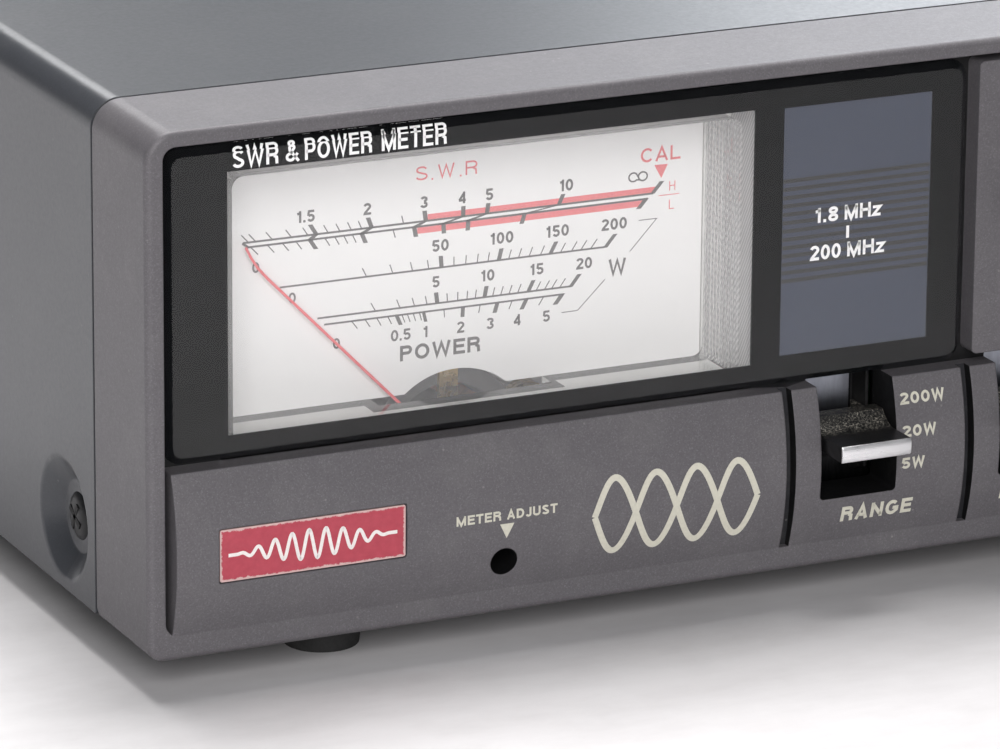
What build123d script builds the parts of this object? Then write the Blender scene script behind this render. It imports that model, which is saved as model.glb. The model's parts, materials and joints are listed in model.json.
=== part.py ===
from build123d import *
import os
from math import sin, cos, radians, pi

# ---------------------------------------------------------------------------
# Table-top SWR and power meter: steel case, moulded front bezel, clear window,
# moving-coil meter, slide switches, calibration knob and a coupler at the back.
# All lengths are millimetres.  Local design coordinates: x from the left side
# of the case, y from the front face towards the back, z from the underside of
# the case.  at() and the plane helpers move them to the part's own frame,
# whose origin is under the middle of the whole object, on the surface that
# the feet stand on.
# ---------------------------------------------------------------------------
CASE_W = 155.0          # case width
CASE_H = 63.0           # case height without feet
CASE_D = 103.0          # front face to back edge of the cover
BEZEL_D = 16.4          # depth of the front moulding
CORNER_R = 3.5          # long upper edges of the case
BEZEL_LOW_R = 2.0       # long lower edges of the front moulding
RAIL_SIDE = 2.1         # front rail width at the sides
RAIL_TOP = 1.8          # front rail height at the top
RAIL_BOTTOM = 3.0       # front rail height at the bottom
FOOT_H = 4.5
FOOT_R = 5.0
KNOB_FRONT = -14.0      # front of the knob, ahead of the front face
SOCKET_END = 116.0      # end of the coaxial sockets
STRIP_TOP = 22.5        # upper edge of the control strip
STRIP_BULGE = 1.6       # how far the strip stands proud of the rails
PANEL_X0, PANEL_X1 = 2.6, 105.9
PANEL_Z0, PANEL_Z1 = 23.1, 60.5
PANEL_Y0, PANEL_Y1 = 0.9, 2.7
WIN_X0, WIN_X1 = 10.8, 78.0
WIN_Z0, WIN_Z1 = 25.6, 57.0
LABEL_X0, LABEL_X1 = 81.8, 101.6
LABEL_Z0, LABEL_Z1 = 26.3, 56.8
WEB_Y0, WEB_Y1 = 3.0, 5.0
SLOTS = (91.0, 115.3, 139.6)        # centres of the three switch slots
SLOT_W = 10.2
SLOT_Z0, SLOT_Z1 = 8.7, 22.6
LEVER_Z = 15.65                     # lever centre at its middle position
LEVER_TRAVEL = 4.2
GROOVES = (81.25, 105.4, 129.55)    # left walls of the separator grooves
GROOVE_W = 1.25
KNOB_X, KNOB_Z, KNOB_R = 134.0, 42.0, 11.5
BUTTON_X, BUTTON_Z, BUTTON_R = 115.0, 42.0, 3.4
BUTTON_TRAVEL = 2.5
METER_X = 44.4                      # meter centre line
PIVOT_Z = 16.2                      # needle pivot height
NEEDLE_Y = 13.0
NEEDLE_REST = 43.7                  # degrees left of upright at zero
NEEDLE_L = 38.6                     # pivot to tip
ADJ_Z = 6.7                         # zero adjuster height
ADJ_THROW = 0.9                     # offset of its pin
DIAL_Y0, DIAL_Y1 = 14.0, 14.5
SOCKETS = (50.0, 105.0)             # coaxial sockets
SOCKET_Z = 31.0
SOCKET_R = 7.94                     # 5/8 inch thread, outside
CONTACT_R = 2.0                     # bore of the centre contact
JACK_X, JACK_Z = 26.5, 20.0
JACK_BORE_R = 1.8
FEET = ((26.5, 11.4), (128.5, 11.4), (26.5, 90.0), (128.5, 90.0))
COVER_SCREWS = ((26.3, 9.65), (92.5, 9.65))   # (y, z) on each side
BEZEL_SCREWS = ((6.8, 57.2), (148.2, 57.2), (6.8, 6.2), (148.2, 6.2))

X0 = -CASE_W / 2
Y0 = -(KNOB_FRONT + SOCKET_END) / 2
Z0 = FOOT_H


def at(x, y, z):
    return (X0 + x, Y0 + y, Z0 + z)


def front(y):
    """Upright plane facing the front; sketch coordinates are (x, z)."""
    return Plane(origin=at(0, y, 0), x_dir=(1, 0, 0), z_dir=(0, -1, 0))


def side(x):
    """Upright plane facing right; sketch coordinates are (y, z)."""
    return Plane(origin=at(x, 0, 0), x_dir=(0, 1, 0), z_dir=(1, 0, 0))


def level(z):
    """Flat plane facing up; sketch coordinates are (x, y)."""
    return Plane(origin=at(0, 0, z), x_dir=(1, 0, 0), z_dir=(0, 0, 1))


def block(x0, x1, y0, y1, z0, z1, mode=Mode.ADD):
    with Locations(at((x0 + x1) / 2, (y0 + y1) / 2, (z0 + z1) / 2)):
        Box(x1 - x0, y1 - y0, z1 - z0, mode=mode)


def rod_y(x, z, r, y0, y1, mode=Mode.ADD):
    with Locations(Location(at(x, (y0 + y1) / 2, z), (90, 0, 0))):
        Cylinder(r, y1 - y0, mode=mode)


def rod_x(y, z, r, x0, x1, mode=Mode.ADD):
    with Locations(Location(at((x0 + x1) / 2, y, z), (0, 90, 0))):
        Cylinder(r, x1 - x0, mode=mode)


def rod_z(x, y, r, z0, z1, mode=Mode.ADD):
    with Locations(at(x, y, (z0 + z1) / 2)):
        Cylinder(r, z1 - z0, mode=mode)


def hexa_y(x, z, af, y0, y1):
    with BuildSketch(Plane(origin=at(x, y0, z), x_dir=(1, 0, 0), z_dir=(0, 1, 0))) as hx:
        RegularPolygon(af / 2, 6, major_radius=False)
    extrude(hx.sketch, amount=y1 - y0)


pieces = {}


def keep(name, builder):
    part = builder.part
    part.label = name
    pieces[name] = part


# ------------------------------------------------------------- front moulding
with BuildPart() as front_bezel:
    with BuildSketch(front(0)):
        with Locations((CASE_W / 2, CASE_H / 2)):
            Rectangle(CASE_W, CASE_H)
        fillet(vertices().sort_by(Axis.Y)[-2:], CORNER_R)
        fillet(vertices().sort_by(Axis.Y)[:2], BEZEL_LOW_R)
    extrude(amount=-BEZEL_D)
    fillet(faces().sort_by(Axis.Y)[0].edges(), 0.8)
    chamfer(faces().sort_by(Axis.Y)[-1].edges(), 0.35)
    # front recess and rear hollow leave one web between them
    with BuildSketch(front(-1)):
        with Locations(((RAIL_SIDE + CASE_W - RAIL_SIDE) / 2, (RAIL_BOTTOM + CASE_H - RAIL_TOP) / 2)):
            RectangleRounded(CASE_W - 2 * RAIL_SIDE, CASE_H - RAIL_TOP - RAIL_BOTTOM, 1.6)
    extrude(amount=-(WEB_Y0 + 1), mode=Mode.SUBTRACT)
    with BuildSketch(front(WEB_Y1)):
        with Locations((CASE_W / 2, CASE_H / 2)):
            RectangleRounded(CASE_W - 2 * 2.3, CASE_H - 2 * 2.0, 1.6)
    extrude(amount=-(BEZEL_D - WEB_Y1 + 1), mode=Mode.SUBTRACT)
    # bulged control strip, one piece with the bottom rail
    with BuildSketch(side(2.9)):
        with BuildLine():
            Polyline((0.15, STRIP_TOP), (WEB_Y0 + 0.5, STRIP_TOP), (WEB_Y0 + 0.5, 2.0), (0.0, 2.0), (0.0, RAIL_BOTTOM))
            ThreePointArc((0.0, RAIL_BOTTOM), (-STRIP_BULGE, (RAIL_BOTTOM + STRIP_TOP) / 2), (0.15, STRIP_TOP))
        make_face()
    extrude(amount=CASE_W - 2 * 2.9)
    # raised field for the knob and the push button
    with BuildSketch(front(0.1)):
        with Locations(((106.9 + 152.1) / 2, (24.0 + 60.3) / 2)):
            RectangleRounded(152.1 - 106.9, 60.3 - 24.0, 0.7)
    extrude(amount=-(WEB_Y0 + 0.4))
    # separator grooves follow the bulge
    for gx in GROOVES:
        with BuildSketch(side(gx)):
            with BuildLine():
                Polyline((1.65, STRIP_TOP + 0.4), (-4.0, STRIP_TOP + 0.4), (-4.0, RAIL_BOTTOM), (0.9, RAIL_BOTTOM))
                ThreePointArc((0.9, RAIL_BOTTOM), (1.5 - STRIP_BULGE, (RAIL_BOTTOM + STRIP_TOP) / 2), (1.65, STRIP_TOP + 0.4))
            make_face()
        extrude(amount=GROOVE_W, mode=Mode.SUBTRACT)
    # switch slots
    with BuildSketch(front(-4)):
        for sx in SLOTS:
            with Locations((sx, (SLOT_Z0 + SLOT_Z1 + 0.7) / 2)):
                RectangleRounded(SLOT_W, SLOT_Z1 + 0.7 - SLOT_Z0, 0.5)
    extrude(amount=-(4 + WEB_Y1 + 1), mode=Mode.SUBTRACT)
    # zero adjuster hole, badge recess, meter opening
    with BuildSketch(front(-4)):
        with Locations((METER_X, ADJ_Z)):
            Circle(1.72)
    extrude(amount=-(4 + WEB_Y1 + 1), mode=Mode.SUBTRACT)
    with BuildSketch(front(-4)):
        with Locations((19.95, 12.4)):
            RectangleRounded(23.6, 6.6, 0.3)
    extrude(amount=-(4 - 0.9), mode=Mode.SUBTRACT)
    with BuildSketch(front(WEB_Y0 - 0.1)):
        with Locations((METER_X, 40.0)):
            RectangleRounded(68.8, 35.6, 1.0)
    extrude(amount=-(WEB_Y1 - WEB_Y0 + 0.2), mode=Mode.SUBTRACT)
    # knob and button holes
    with BuildSketch(front(-1)):
        with Locations((KNOB_X, KNOB_Z)):
            Circle(3.7)
        with Locations((BUTTON_X, BUTTON_Z)):
            Circle(BUTTON_R + 0.4)
    extrude(amount=-(WEB_Y1 + 2), mode=Mode.SUBTRACT)
    # screw bosses and the two front foot screw holes
    for bx, bz in BEZEL_SCREWS:
        rod_y(bx, bz, 2.35, WEB_Y1 - 0.2, BEZEL_D)
        rod_y(bx, bz, 1.55, 7.5, BEZEL_D + 0.5, mode=Mode.SUBTRACT)
    for fx, fy in FEET[:2]:
        rod_z(fx, fy, 1.6, -0.5, 3.0, mode=Mode.SUBTRACT)
keep("front_bezel", front_bezel)

# ------------------------------------------------------------- window parts
with BuildPart() as window_panel:
    with BuildSketch(front(PANEL_Y0)):
        with Locations(((PANEL_X0 + PANEL_X1) / 2, (PANEL_Z0 + PANEL_Z1) / 2)):
            RectangleRounded(PANEL_X1 - PANEL_X0, PANEL_Z1 - PANEL_Z0, 2.2)
    extrude(amount=-(PANEL_Y1 - PANEL_Y0))
    chamfer(faces().sort_by(Axis.Y)[0].edges(), 0.9)
keep("window_panel", window_panel)

with BuildPart() as window_mask:
    with BuildSketch(front(PANEL_Y1)):
        with Locations(((PANEL_X0 + PANEL_X1) / 2, (PANEL_Z0 + PANEL_Z1) / 2)):
            RectangleRounded(PANEL_X1 - PANEL_X0 - 0.2, PANEL_Z1 - PANEL_Z0 - 0.2, 2.1)
        with Locations(((WIN_X0 + WIN_X1) / 2, (WIN_Z0 + WIN_Z1) / 2)):
            Rectangle(WIN_X1 - WIN_X0, WIN_Z1 - WIN_Z0, mode=Mode.SUBTRACT)
        with Locations(((LABEL_X0 + LABEL_X1) / 2, (LABEL_Z0 + LABEL_Z1) / 2)):
            Rectangle(LABEL_X1 - LABEL_X0, LABEL_Z1 - LABEL_Z0, mode=Mode.SUBTRACT)
    extrude(amount=-(WEB_Y0 - PANEL_Y1))
keep("window_mask", window_mask)

with BuildPart() as frequency_label:
    block(LABEL_X0 + 0.02, LABEL_X1 - 0.02, WEB_Y0 - 0.15, WEB_Y0, LABEL_Z0 + 0.02, LABEL_Z1 - 0.02)
keep("frequency_label", frequency_label)

with BuildPart() as badge_plate:
    with BuildSketch(front(-1.35)):
        with Locations((19.95, 12.4)):
            RectangleRounded(23.3, 6.3, 0.25)
    extrude(amount=-0.45)
keep("badge_plate", badge_plate)

# ------------------------------------------------------------- steel case
with BuildPart() as top_cover:
    with BuildSketch(front(BEZEL_D + 0.1)):
        with Locations((CASE_W / 2, CASE_H / 2)):
            Rectangle(CASE_W, CASE_H)
        fillet(vertices().sort_by(Axis.Y)[-2:], CORNER_R)
        with Locations((CASE_W / 2, CASE_H - 1.0 - 40.0)):
            RectangleRounded(CASE_W - 2.0, 80.0, CORNER_R - 1.0, mode=Mode.SUBTRACT)
        with Locations((CASE_W / 2, -0.05)):
            Rectangle(CASE_W + 2, 1.9, mode=Mode.SUBTRACT)
    extrude(amount=-(CASE_D - BEZEL_D - 0.1))
    # pressed dimples round the screws
    for sgn, xs in ((1, 0.0), (-1, CASE_W)):
        for dy, dz in COVER_SCREWS:
            with Locations(Location(at(xs + sgn * 1.75, dy, dz), (0, 90 * sgn, 0))):
                Cone(8.35, 5.2, 2.5, mode=Mode.ADD)
            with Locations(Location(at(xs + sgn * 0.99, dy, dz), (0, 90 * sgn, 0))):
                Cone(7.53, 4.45, 2.02, mode=Mode.SUBTRACT)
            rod_x(dy, dz, 1.7, min(xs, xs + sgn * 4), max(xs, xs + sgn * 4), mode=Mode.SUBTRACT)
    mouth = [e for e in edges().filter_by(GeomType.CIRCLE) if abs(abs(e.center().X) - CASE_W / 2) < 0.06 and abs(e.radius - 7.53) < 0.12]
    fillet(mouth, 1.2)
keep("top_cover", top_cover)

with BuildPart() as chassis:
    block(1.15, CASE_W - 1.15, BEZEL_D + 0.2, 102.0, 0.0, 1.0)
    with BuildSketch(front(101.0)):
        with Locations((CASE_W / 2, 30.8)):
            Rectangle(CASE_W - 2.8, 61.6)
        fillet(vertices().sort_by(Axis.Y)[-2:], 2.6)
    extrude(amount=-1.0)
    for xa in (3.0, CASE_W - 4.0):
        block(xa, xa + 1.0, BEZEL_D + 0.2, 101.5, 0.5, 18.0)
    block(3.0, 10.4, BEZEL_D + 0.2, BEZEL_D + 1.2, 0.5, 60.4)
    block(CASE_W - 10.4, CASE_W - 3.0, BEZEL_D + 0.2, BEZEL_D + 1.2, 0.5, 60.4)
    for bx, bz in BEZEL_SCREWS:
        rod_y(bx, bz, 1.7, BEZEL_D - 1, BEZEL_D + 3, mode=Mode.SUBTRACT)
    for dy, dz in COVER_SCREWS:
        rod_x(dy, dz, 1.55, 2.0, 5.0, mode=Mode.SUBTRACT)
        rod_x(dy, dz, 1.55, CASE_W - 5.0, CASE_W - 2.0, mode=Mode.SUBTRACT)
    for fx, fy in FEET[2:]:
        rod_z(fx, fy, 1.6, -1.0, 3.0, mode=Mode.SUBTRACT)
    for sx in SOCKETS:
        rod_y(sx, SOCKET_Z, 8.2, 100.0, 103.0, mode=Mode.SUBTRACT)
        for i in (-1, 1):
            for k in (-1, 1):
                rod_y(sx + i * 9.15, SOCKET_Z + k * 9.15, 1.65, 100.0, 103.0, mode=Mode.SUBTRACT)
    rod_y(JACK_X, JACK_Z, 3.1, 100.0, 103.0, mode=Mode.SUBTRACT)
keep("chassis", chassis)

# ------------------------------------------------------------- meter case
with BuildPart() as meter_cover:
    block(10.6, 78.2, 12.6, 13.8, 3.0, 57.2)
    with BuildSketch(front(3.2)):
        with Locations((METER_X, 40.0)):
            RectangleRounded(67.6, 34.4, 0.9)
    extrude(amount=-9.5)
    block(32.0, 56.8, 9.8, 12.7, 3.0, 23.0)
    with BuildSketch(front(4.4)):
        with Locations((METER_X, 40.0)):
            RectangleRounded(65.0, 31.8, 1.4)
    extrude(amount=-9.5, mode=Mode.SUBTRACT)
    block(33.2, 55.6, 11.0, 14.0, 4.2, 25.0, mode=Mode.SUBTRACT)
    # light-spreading ribs on the inside of the right wall
    for i in range(9):
        block(76.45, 77.0, 5.2 + i * 0.85, 5.6 + i * 0.85, 24.1, 55.8)
    rod_y(METER_X, ADJ_Z, 1.3, 9.0, 12.0, mode=Mode.SUBTRACT)
keep("meter_cover", meter_cover)

with BuildPart() as meter_housing:
    block(10.6, 78.2, 13.8, 36.0, 3.0, 57.2)
    block(12.1, 76.7, 13.0, 34.5, 4.5, 55.9, mode=Mode.SUBTRACT)
    # ledges for the dial
    for lx, lz in ((14.4, 26.5), (74.4, 26.5), (14.4, 53.4), (74.4, 53.4)):
        rod_y(lx, lz, 2.0, DIAL_Y1, 34.6)
    for tx in (26.0, 62.8):
        rod_y(tx, 14.0, 1.55, 34.0, 37.0, mode=Mode.SUBTRACT)
keep("meter_housing", meter_housing)

with BuildPart() as dial_plate:
    with BuildSketch(front(DIAL_Y0)):
        with Locations((METER_X, 39.85)):
            Rectangle(64.4, 31.7)
        with Locations((METER_X, PIVOT_Z)):
            Circle(10.2, mode=Mode.SUBTRACT)
    extrude(amount=-(DIAL_Y1 - DIAL_Y0))
keep("dial_plate", dial_plate)

with BuildPart() as meter_terminals:
    for tx in (26.0, 62.8):
        rod_y(tx, 14.0, 1.5, 32.8, 41.0)
        rod_y(tx, 14.0, 3.0, 32.8, 34.5)
        hexa_y(tx, 14.0, 5.5, 36.0, 38.2)
keep("meter_terminals", meter_terminals)

# ------------------------------------------------------------- moving-coil movement
with BuildPart() as magnet_yoke:
    rod_y(METER_X, PIVOT_Z, 9.9, 16.5, 27.5)
    rod_y(METER_X, PIVOT_Z, 7.7, 16.0, 28.0, mode=Mode.SUBTRACT)
keep("magnet_yoke", magnet_yoke)

with BuildPart() as magnet_core:
    rod_y(METER_X, PIVOT_Z, 4.6, 16.5, 27.5)
    rod_y(METER_X, PIVOT_Z, 0.9, 16.0, 28.0, mode=Mode.SUBTRACT)
keep("magnet_core", magnet_core)

with BuildPart() as core_straps:
    for y in (15.9, 27.5):
        block(METER_X - 1.2, METER_X + 1.2, y, y + 0.6, PIVOT_Z - 9.6, PIVOT_Z + 9.6)
        rod_y(METER_X, PIVOT_Z, 0.9, y - 1, y + 1, mode=Mode.SUBTRACT)
keep("core_straps", core_straps)

with BuildPart() as front_bridge:
    block(METER_X - 9.8, METER_X + 9.8, 11.9, 12.4, PIVOT_Z - 1.5, PIVOT_Z + 1.5)
    for s in (-8.8, 8.8):
        rod_y(METER_X + s, PIVOT_Z, 0.9, 12.3, 16.5)
    rod_y(METER_X, PIVOT_Z, 1.0, 11.0, 13.0, mode=Mode.SUBTRACT)
keep("front_bridge", front_bridge)

with BuildPart() as rear_bridge:
    rod_y(METER_X, PIVOT_Z, 9.8, 31.0, 32.2)
    for s in (-8.8, 8.8):
        rod_y(METER_X + s, PIVOT_Z, 0.9, 27.5, 31.1)
        rod_y(METER_X + s, PIVOT_Z, 1.6, 32.1, 34.5)
    rod_y(METER_X, PIVOT_Z, 1.0, 30.0, 33.0, mode=Mode.SUBTRACT)
keep("rear_bridge", rear_bridge)

with BuildPart() as jewel_screws:
    rod_y(METER_X, PIVOT_Z, 1.0, 11.2, 12.5)
    rod_y(METER_X, PIVOT_Z, 0.40, 11.7, 12.6, mode=Mode.SUBTRACT)
    rod_y(METER_X, PIVOT_Z, 1.0, 30.4, 33.0)
    rod_y(METER_X, PIVOT_Z, 0.40, 30.0, 31.6, mode=Mode.SUBTRACT)
keep("jewel_screws", jewel_screws)

# needle, hub and staff turn together; drawn upright, then laid over to zero
rest = Axis(at(METER_X, 0, PIVOT_Z), (0, 1, 0))
with BuildPart() as needle_up:
    with BuildSketch(front(NEEDLE_Y - 0.15)):
        with BuildLine():
            Polyline(
                (METER_X - 0.45, PIVOT_Z), (METER_X - 0.14, PIVOT_Z + NEEDLE_L), (METER_X + 0.14, PIVOT_Z + NEEDLE_L),
                (METER_X + 0.45, PIVOT_Z), (METER_X + 0.8, PIVOT_Z - 5.5), (METER_X - 0.8, PIVOT_Z - 5.5), close=True)
        make_face()
        with Locations((METER_X, PIVOT_Z)):
            Circle(1.7)
            Circle(0.35, mode=Mode.SUBTRACT)
    extrude(amount=-0.3)
    rod_y(METER_X, PIVOT_Z, 1.1, NEEDLE_Y + 0.1, NEEDLE_Y + 0.9)
    rod_y(METER_X, PIVOT_Z, 0.35, NEEDLE_Y - 1, NEEDLE_Y + 2, mode=Mode.SUBTRACT)
needle = needle_up.part.rotate(rest, -NEEDLE_REST)
needle.label = "needle"
pieces["needle"] = needle

with BuildPart() as coil_up:
    block(METER_X - 6.9, METER_X + 6.9, 14.4, 29.9, PIVOT_Z - 1.6, PIVOT_Z + 1.6)
    block(METER_X - 5.3, METER_X + 5.3, 15.6, 28.7, PIVOT_Z - 2.0, PIVOT_Z + 2.0, mode=Mode.SUBTRACT)
    rod_y(METER_X, PIVOT_Z, 0.35, 14.0, 31.0, mode=Mode.SUBTRACT)
moving_coil = coil_up.part.rotate(rest, -NEEDLE_REST)
moving_coil.label = "moving_coil"
pieces["moving_coil"] = moving_coil

with BuildPart() as needle_staff:
    rod_y(METER_X, PIVOT_Z, 0.35, 11.85, 15.0)
    rod_y(METER_X, PIVOT_Z, 0.35, 28.9, 31.4)
keep("needle_staff", needle_staff)

with BuildPart() as hairspring_up:
    with BuildSketch(front(30.1)):
        turns, r_in, pitch = 2.6, 1.3, 1.0
        pts = []
        n = 48
        for i in range(n + 1):
            a = 2 * pi * turns * i / n
            r = r_in + pitch * a / (2 * pi)
            pts.append((METER_X + r * cos(a), PIVOT_Z + r * sin(a)))
        out = []
        for i in range(n, -1, -1):
            a = 2 * pi * turns * i / n
            r = r_in + 0.3 + pitch * a / (2 * pi)
            out.append((METER_X + r * cos(a), PIVOT_Z + r * sin(a)))
        with BuildLine():
            Polyline(*(pts + out), close=True)
        make_face()
        with Locations((METER_X, PIVOT_Z)):
            Circle(1.45)
            Circle(0.35, mode=Mode.SUBTRACT)
    extrude(amount=-0.25)
keep("hairspring", hairspring_up)

# zero adjuster: slotted screw in the clear cover, its pin in a forked arm
with BuildPart() as zero_screw:
    rod_y(METER_X, ADJ_Z, 2.3, 8.4, 9.75)
    rod_y(METER_X, ADJ_Z, 1.25, 9.7, 11.1)
    rod_y(METER_X, ADJ_Z + ADJ_THROW, 0.45, 11.0, 11.85)
    block(METER_X - 3, METER_X + 3, 8.0, 9.1, ADJ_Z - 0.3, ADJ_Z + 0.3, mode=Mode.SUBTRACT)
keep("zero_screw", zero_screw)

with BuildPart() as zero_arm:
    with BuildSketch(front(11.35)):
        with Locations((METER_X, PIVOT_Z)):
            Circle(2.4)
        with Locations((METER_X, PIVOT_Z - 4.6)):
            Rectangle(2.6, 8.4)
        with Locations((METER_X, ADJ_Z + 1.3)):
            Rectangle(3.6, 3.0)
        with Locations((METER_X, ADJ_Z + 0.8)):
            SlotOverall(4.6, 1.3, rotation=90, mode=Mode.SUBTRACT)
        with Locations((METER_X, PIVOT_Z)):
            Circle(1.05, mode=Mode.SUBTRACT)
    extrude(amount=-0.45)
keep("zero_arm", zero_arm)

# ------------------------------------------------------------- switches
with BuildPart() as slide_switches:
    for sx in SLOTS:
        block(sx - 5.4, sx + 5.4, 6.5, 12.5, LEVER_Z - 10.0, LEVER_Z + 10.0)
        block(sx + 2.6, sx + 5.0, 6.0, 10.0, LEVER_Z - 6.3, LEVER_Z + 6.3, mode=Mode.SUBTRACT)
        for i in (-3.5, 3.5):
            for k in range(4):
                block(sx + i - 0.4, sx + i + 0.4, 12.4, 15.0, LEVER_Z - 6.4 + 4.2 * k, LEVER_Z - 5.8 + 4.2 * k)
keep("slide_switches", slide_switches)

for name, sx in zip(("range", "function", "power"), SLOTS):
    with BuildPart() as lever:
        # rounded hub, flat paddle and the stem that works the switch
        with BuildSketch(side(sx - 4.75)):
            with BuildLine():
                Polyline((3.4, LEVER_Z + 2.6), (3.4, LEVER_Z - 2.6), (1.6, LEVER_Z - 2.6))
                ThreePointArc((1.6, LEVER_Z - 2.6), (-1.0, LEVER_Z), (1.6, LEVER_Z + 2.6))
                Line((1.6, LEVER_Z + 2.6), (3.4, LEVER_Z + 2.6))
            make_face()
        extrude(amount=9.5)
        with BuildSketch(side(sx - 4.6)):
            with BuildLine():
                Polyline((1.0, LEVER_Z + 0.80), (-5.7, LEVER_Z + 1.02), (-5.7, LEVER_Z - 1.02), (1.0, LEVER_Z - 0.80), close=True)
            make_face()
        extrude(amount=9.2)
        block(sx + 2.9, sx + 4.7, 3.2, 9.0, LEVER_Z - 1.5, LEVER_Z + 1.5)
    keep(name + "_lever", lever)

    with BuildPart() as tip:
        with BuildSketch(front(-6.0)):
            with Locations((sx, LEVER_Z)):
                RectangleRounded(9.2, 2.04, 0.25)
        extrude(amount=-0.3)
    keep(name + "_lever_tip", tip)

with BuildPart() as switch_frames:
    for sx in SLOTS:
        block(sx - 6.2, sx + 6.2, 6.0, 6.5, LEVER_Z - 12.2, LEVER_Z + 12.2)
        block(sx + 2.65, sx + 5.6, 5.5, 7.0, LEVER_Z - 6.3, LEVER_Z + 6.3, mode=Mode.SUBTRACT)
        for k in (-11.2, 11.2):
            rod_y(sx, LEVER_Z + k, 0.5, 5.5, 7.0, mode=Mode.SUBTRACT)
keep("switch_frames", switch_frames)

# ------------------------------------------------------------- calibration control and push button
with BuildPart() as cal_pot:
    rod_y(KNOB_X, KNOB_Z, 8.0, 5.0, 13.0)
    rod_y(KNOB_X, KNOB_Z, 3.5, -3.2, 5.1)
    rod_y(KNOB_X, KNOB_Z, 3.05, -4.0, 10.0, mode=Mode.SUBTRACT)
    for k in (-5.0, 0.0, 5.0):
        block(KNOB_X + k - 0.5, KNOB_X + k + 0.5, 12.0, 15.0, KNOB_Z - 7.2, KNOB_Z - 6.4)
keep("cal_pot", cal_pot)

with BuildPart() as pot_shaft:
    rod_y(KNOB_X, KNOB_Z, 3.0, -12.0, 9.4)
keep("pot_shaft", pot_shaft)

with BuildPart() as cal_knob:
    with BuildSketch(front(-1.2)):
        with Locations((KNOB_X, KNOB_Z)):
            Circle(KNOB_R)
    extrude(amount=1.6)
    with BuildSketch(front(-2.8)):
        with Locations((KNOB_X, KNOB_Z)):
            Circle(KNOB_R - 0.9)
            with PolarLocations(KNOB_R - 0.45, 40):
                Circle(0.42, mode=Mode.SUBTRACT)
    extrude(amount=11.2 - 0.35)
    chamfer(faces().sort_by(Axis.Y)[0].outer_wire().edges(), 0.45)
    rod_y(KNOB_X, KNOB_Z, 8.6, -14.2, -13.2, mode=Mode.SUBTRACT)
    rod_y(KNOB_X, KNOB_Z, 3.0, -12.0, -1.0, mode=Mode.SUBTRACT)
    rod_y(KNOB_X, KNOB_Z, 6.6, -4.0, -1.0, mode=Mode.SUBTRACT)
keep("cal_knob", cal_knob)

with BuildPart() as knob_cap:
    rod_y(KNOB_X, KNOB_Z, 8.5, KNOB_FRONT, -13.2)
    chamfer(faces().sort_by(Axis.Y)[0].edges(), 0.25)
keep("knob_cap", knob_cap)

with BuildPart() as monitor_button:
    rod_y(BUTTON_X, BUTTON_Z, BUTTON_R, -4.0, 6.0)
    fillet(faces().sort_by(Axis.Y)[0].edges(), 0.6)
    rod_y(BUTTON_X, BUTTON_Z, 1.6, 5.9, 9.6)
keep("monitor_button", monitor_button)

with BuildPart() as monitor_switch:
    block(BUTTON_X - 4.3, BUTTON_X + 4.3, 8.8, 15.0, BUTTON_Z - 4.3, BUTTON_Z + 4.3)
    rod_y(BUTTON_X, BUTTON_Z, 2.0, 8.0, 12.8, mode=Mode.SUBTRACT)
keep("monitor_switch", monitor_switch)

with BuildPart() as front_board:
    block(84.0, 144.0, 15.0, 16.4, 3.4, 59.6)
    block(79.4, 84.5, 15.0, 16.4, 28.0, 48.0)
keep("front_board", front_board)

with BuildPart() as board_parts:
    for bx, bz, w, h, d in ((90, 52, 6, 6, 5), (99, 52, 6, 6, 5), (108, 53, 6, 6, 5), (90, 34, 4, 9, 3), (98, 34, 4, 9, 3),
                            (106, 32, 8, 5, 3.4), (121, 52, 5, 5, 7), (130, 27, 10, 6, 3.2), (119, 27, 4, 8, 3), (134, 54, 8, 4, 4)):
        block(bx - w / 2, bx + w / 2, 16.4, 16.4 + d, bz - h / 2, bz + h / 2)
keep("board_parts", board_parts)

# ------------------------------------------------------------- dial lamp
with BuildPart() as lamp_bulb:
    rod_z(80.9, 9.6, 1.75, 38.0, 46.0)
    fillet(faces().sort_by(Axis.Z)[-1].edges(), 1.6)
keep("lamp_bulb", lamp_bulb)

with BuildPart() as lamp_holder:
    block(78.7, 83.2, 7.3, 15.0, 30.0, 38.0)
keep("lamp_holder", lamp_holder)

# ------------------------------------------------------------- directional coupler
with BuildPart() as coupler_box:
    block(36.0, 119.0, 70.0, 101.0, 15.0, 47.0)
    block(36.8, 118.2, 69.0, 100.2, 15.8, 46.2, mode=Mode.SUBTRACT)
    for sx in SOCKETS:
        rod_y(sx, SOCKET_Z, 8.2, 99.0, 102.0, mode=Mode.SUBTRACT)
        for i in (-1, 1):
            for k in (-1, 1):
                rod_y(sx + i * 9.15, SOCKET_Z + k * 9.15, 1.65, 99.0, 102.0, mode=Mode.SUBTRACT)
keep("coupler_box", coupler_box)

with BuildPart() as coupler_lid:
    block(36.0, 119.0, 69.2, 70.0, 15.0, 47.0)
keep("coupler_lid", coupler_lid)

with BuildPart() as coupler_line:
    rod_x(86.0, SOCKET_Z, 1.6, SOCKETS[0] - 1.6, SOCKETS[1] + 1.6)
    for sx in SOCKETS:
        rod_y(sx, SOCKET_Z, 1.6, 86.0, 90.0)
keep("coupler_line", coupler_line)

with BuildPart() as toroid_core:
    rod_x(86.0, SOCKET_Z, 7.5, 74.0, 81.0)
    rod_x(86.0, SOCKET_Z, 3.4, 73.0, 82.0, mode=Mode.SUBTRACT)
keep("toroid_core", toroid_core)

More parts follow.
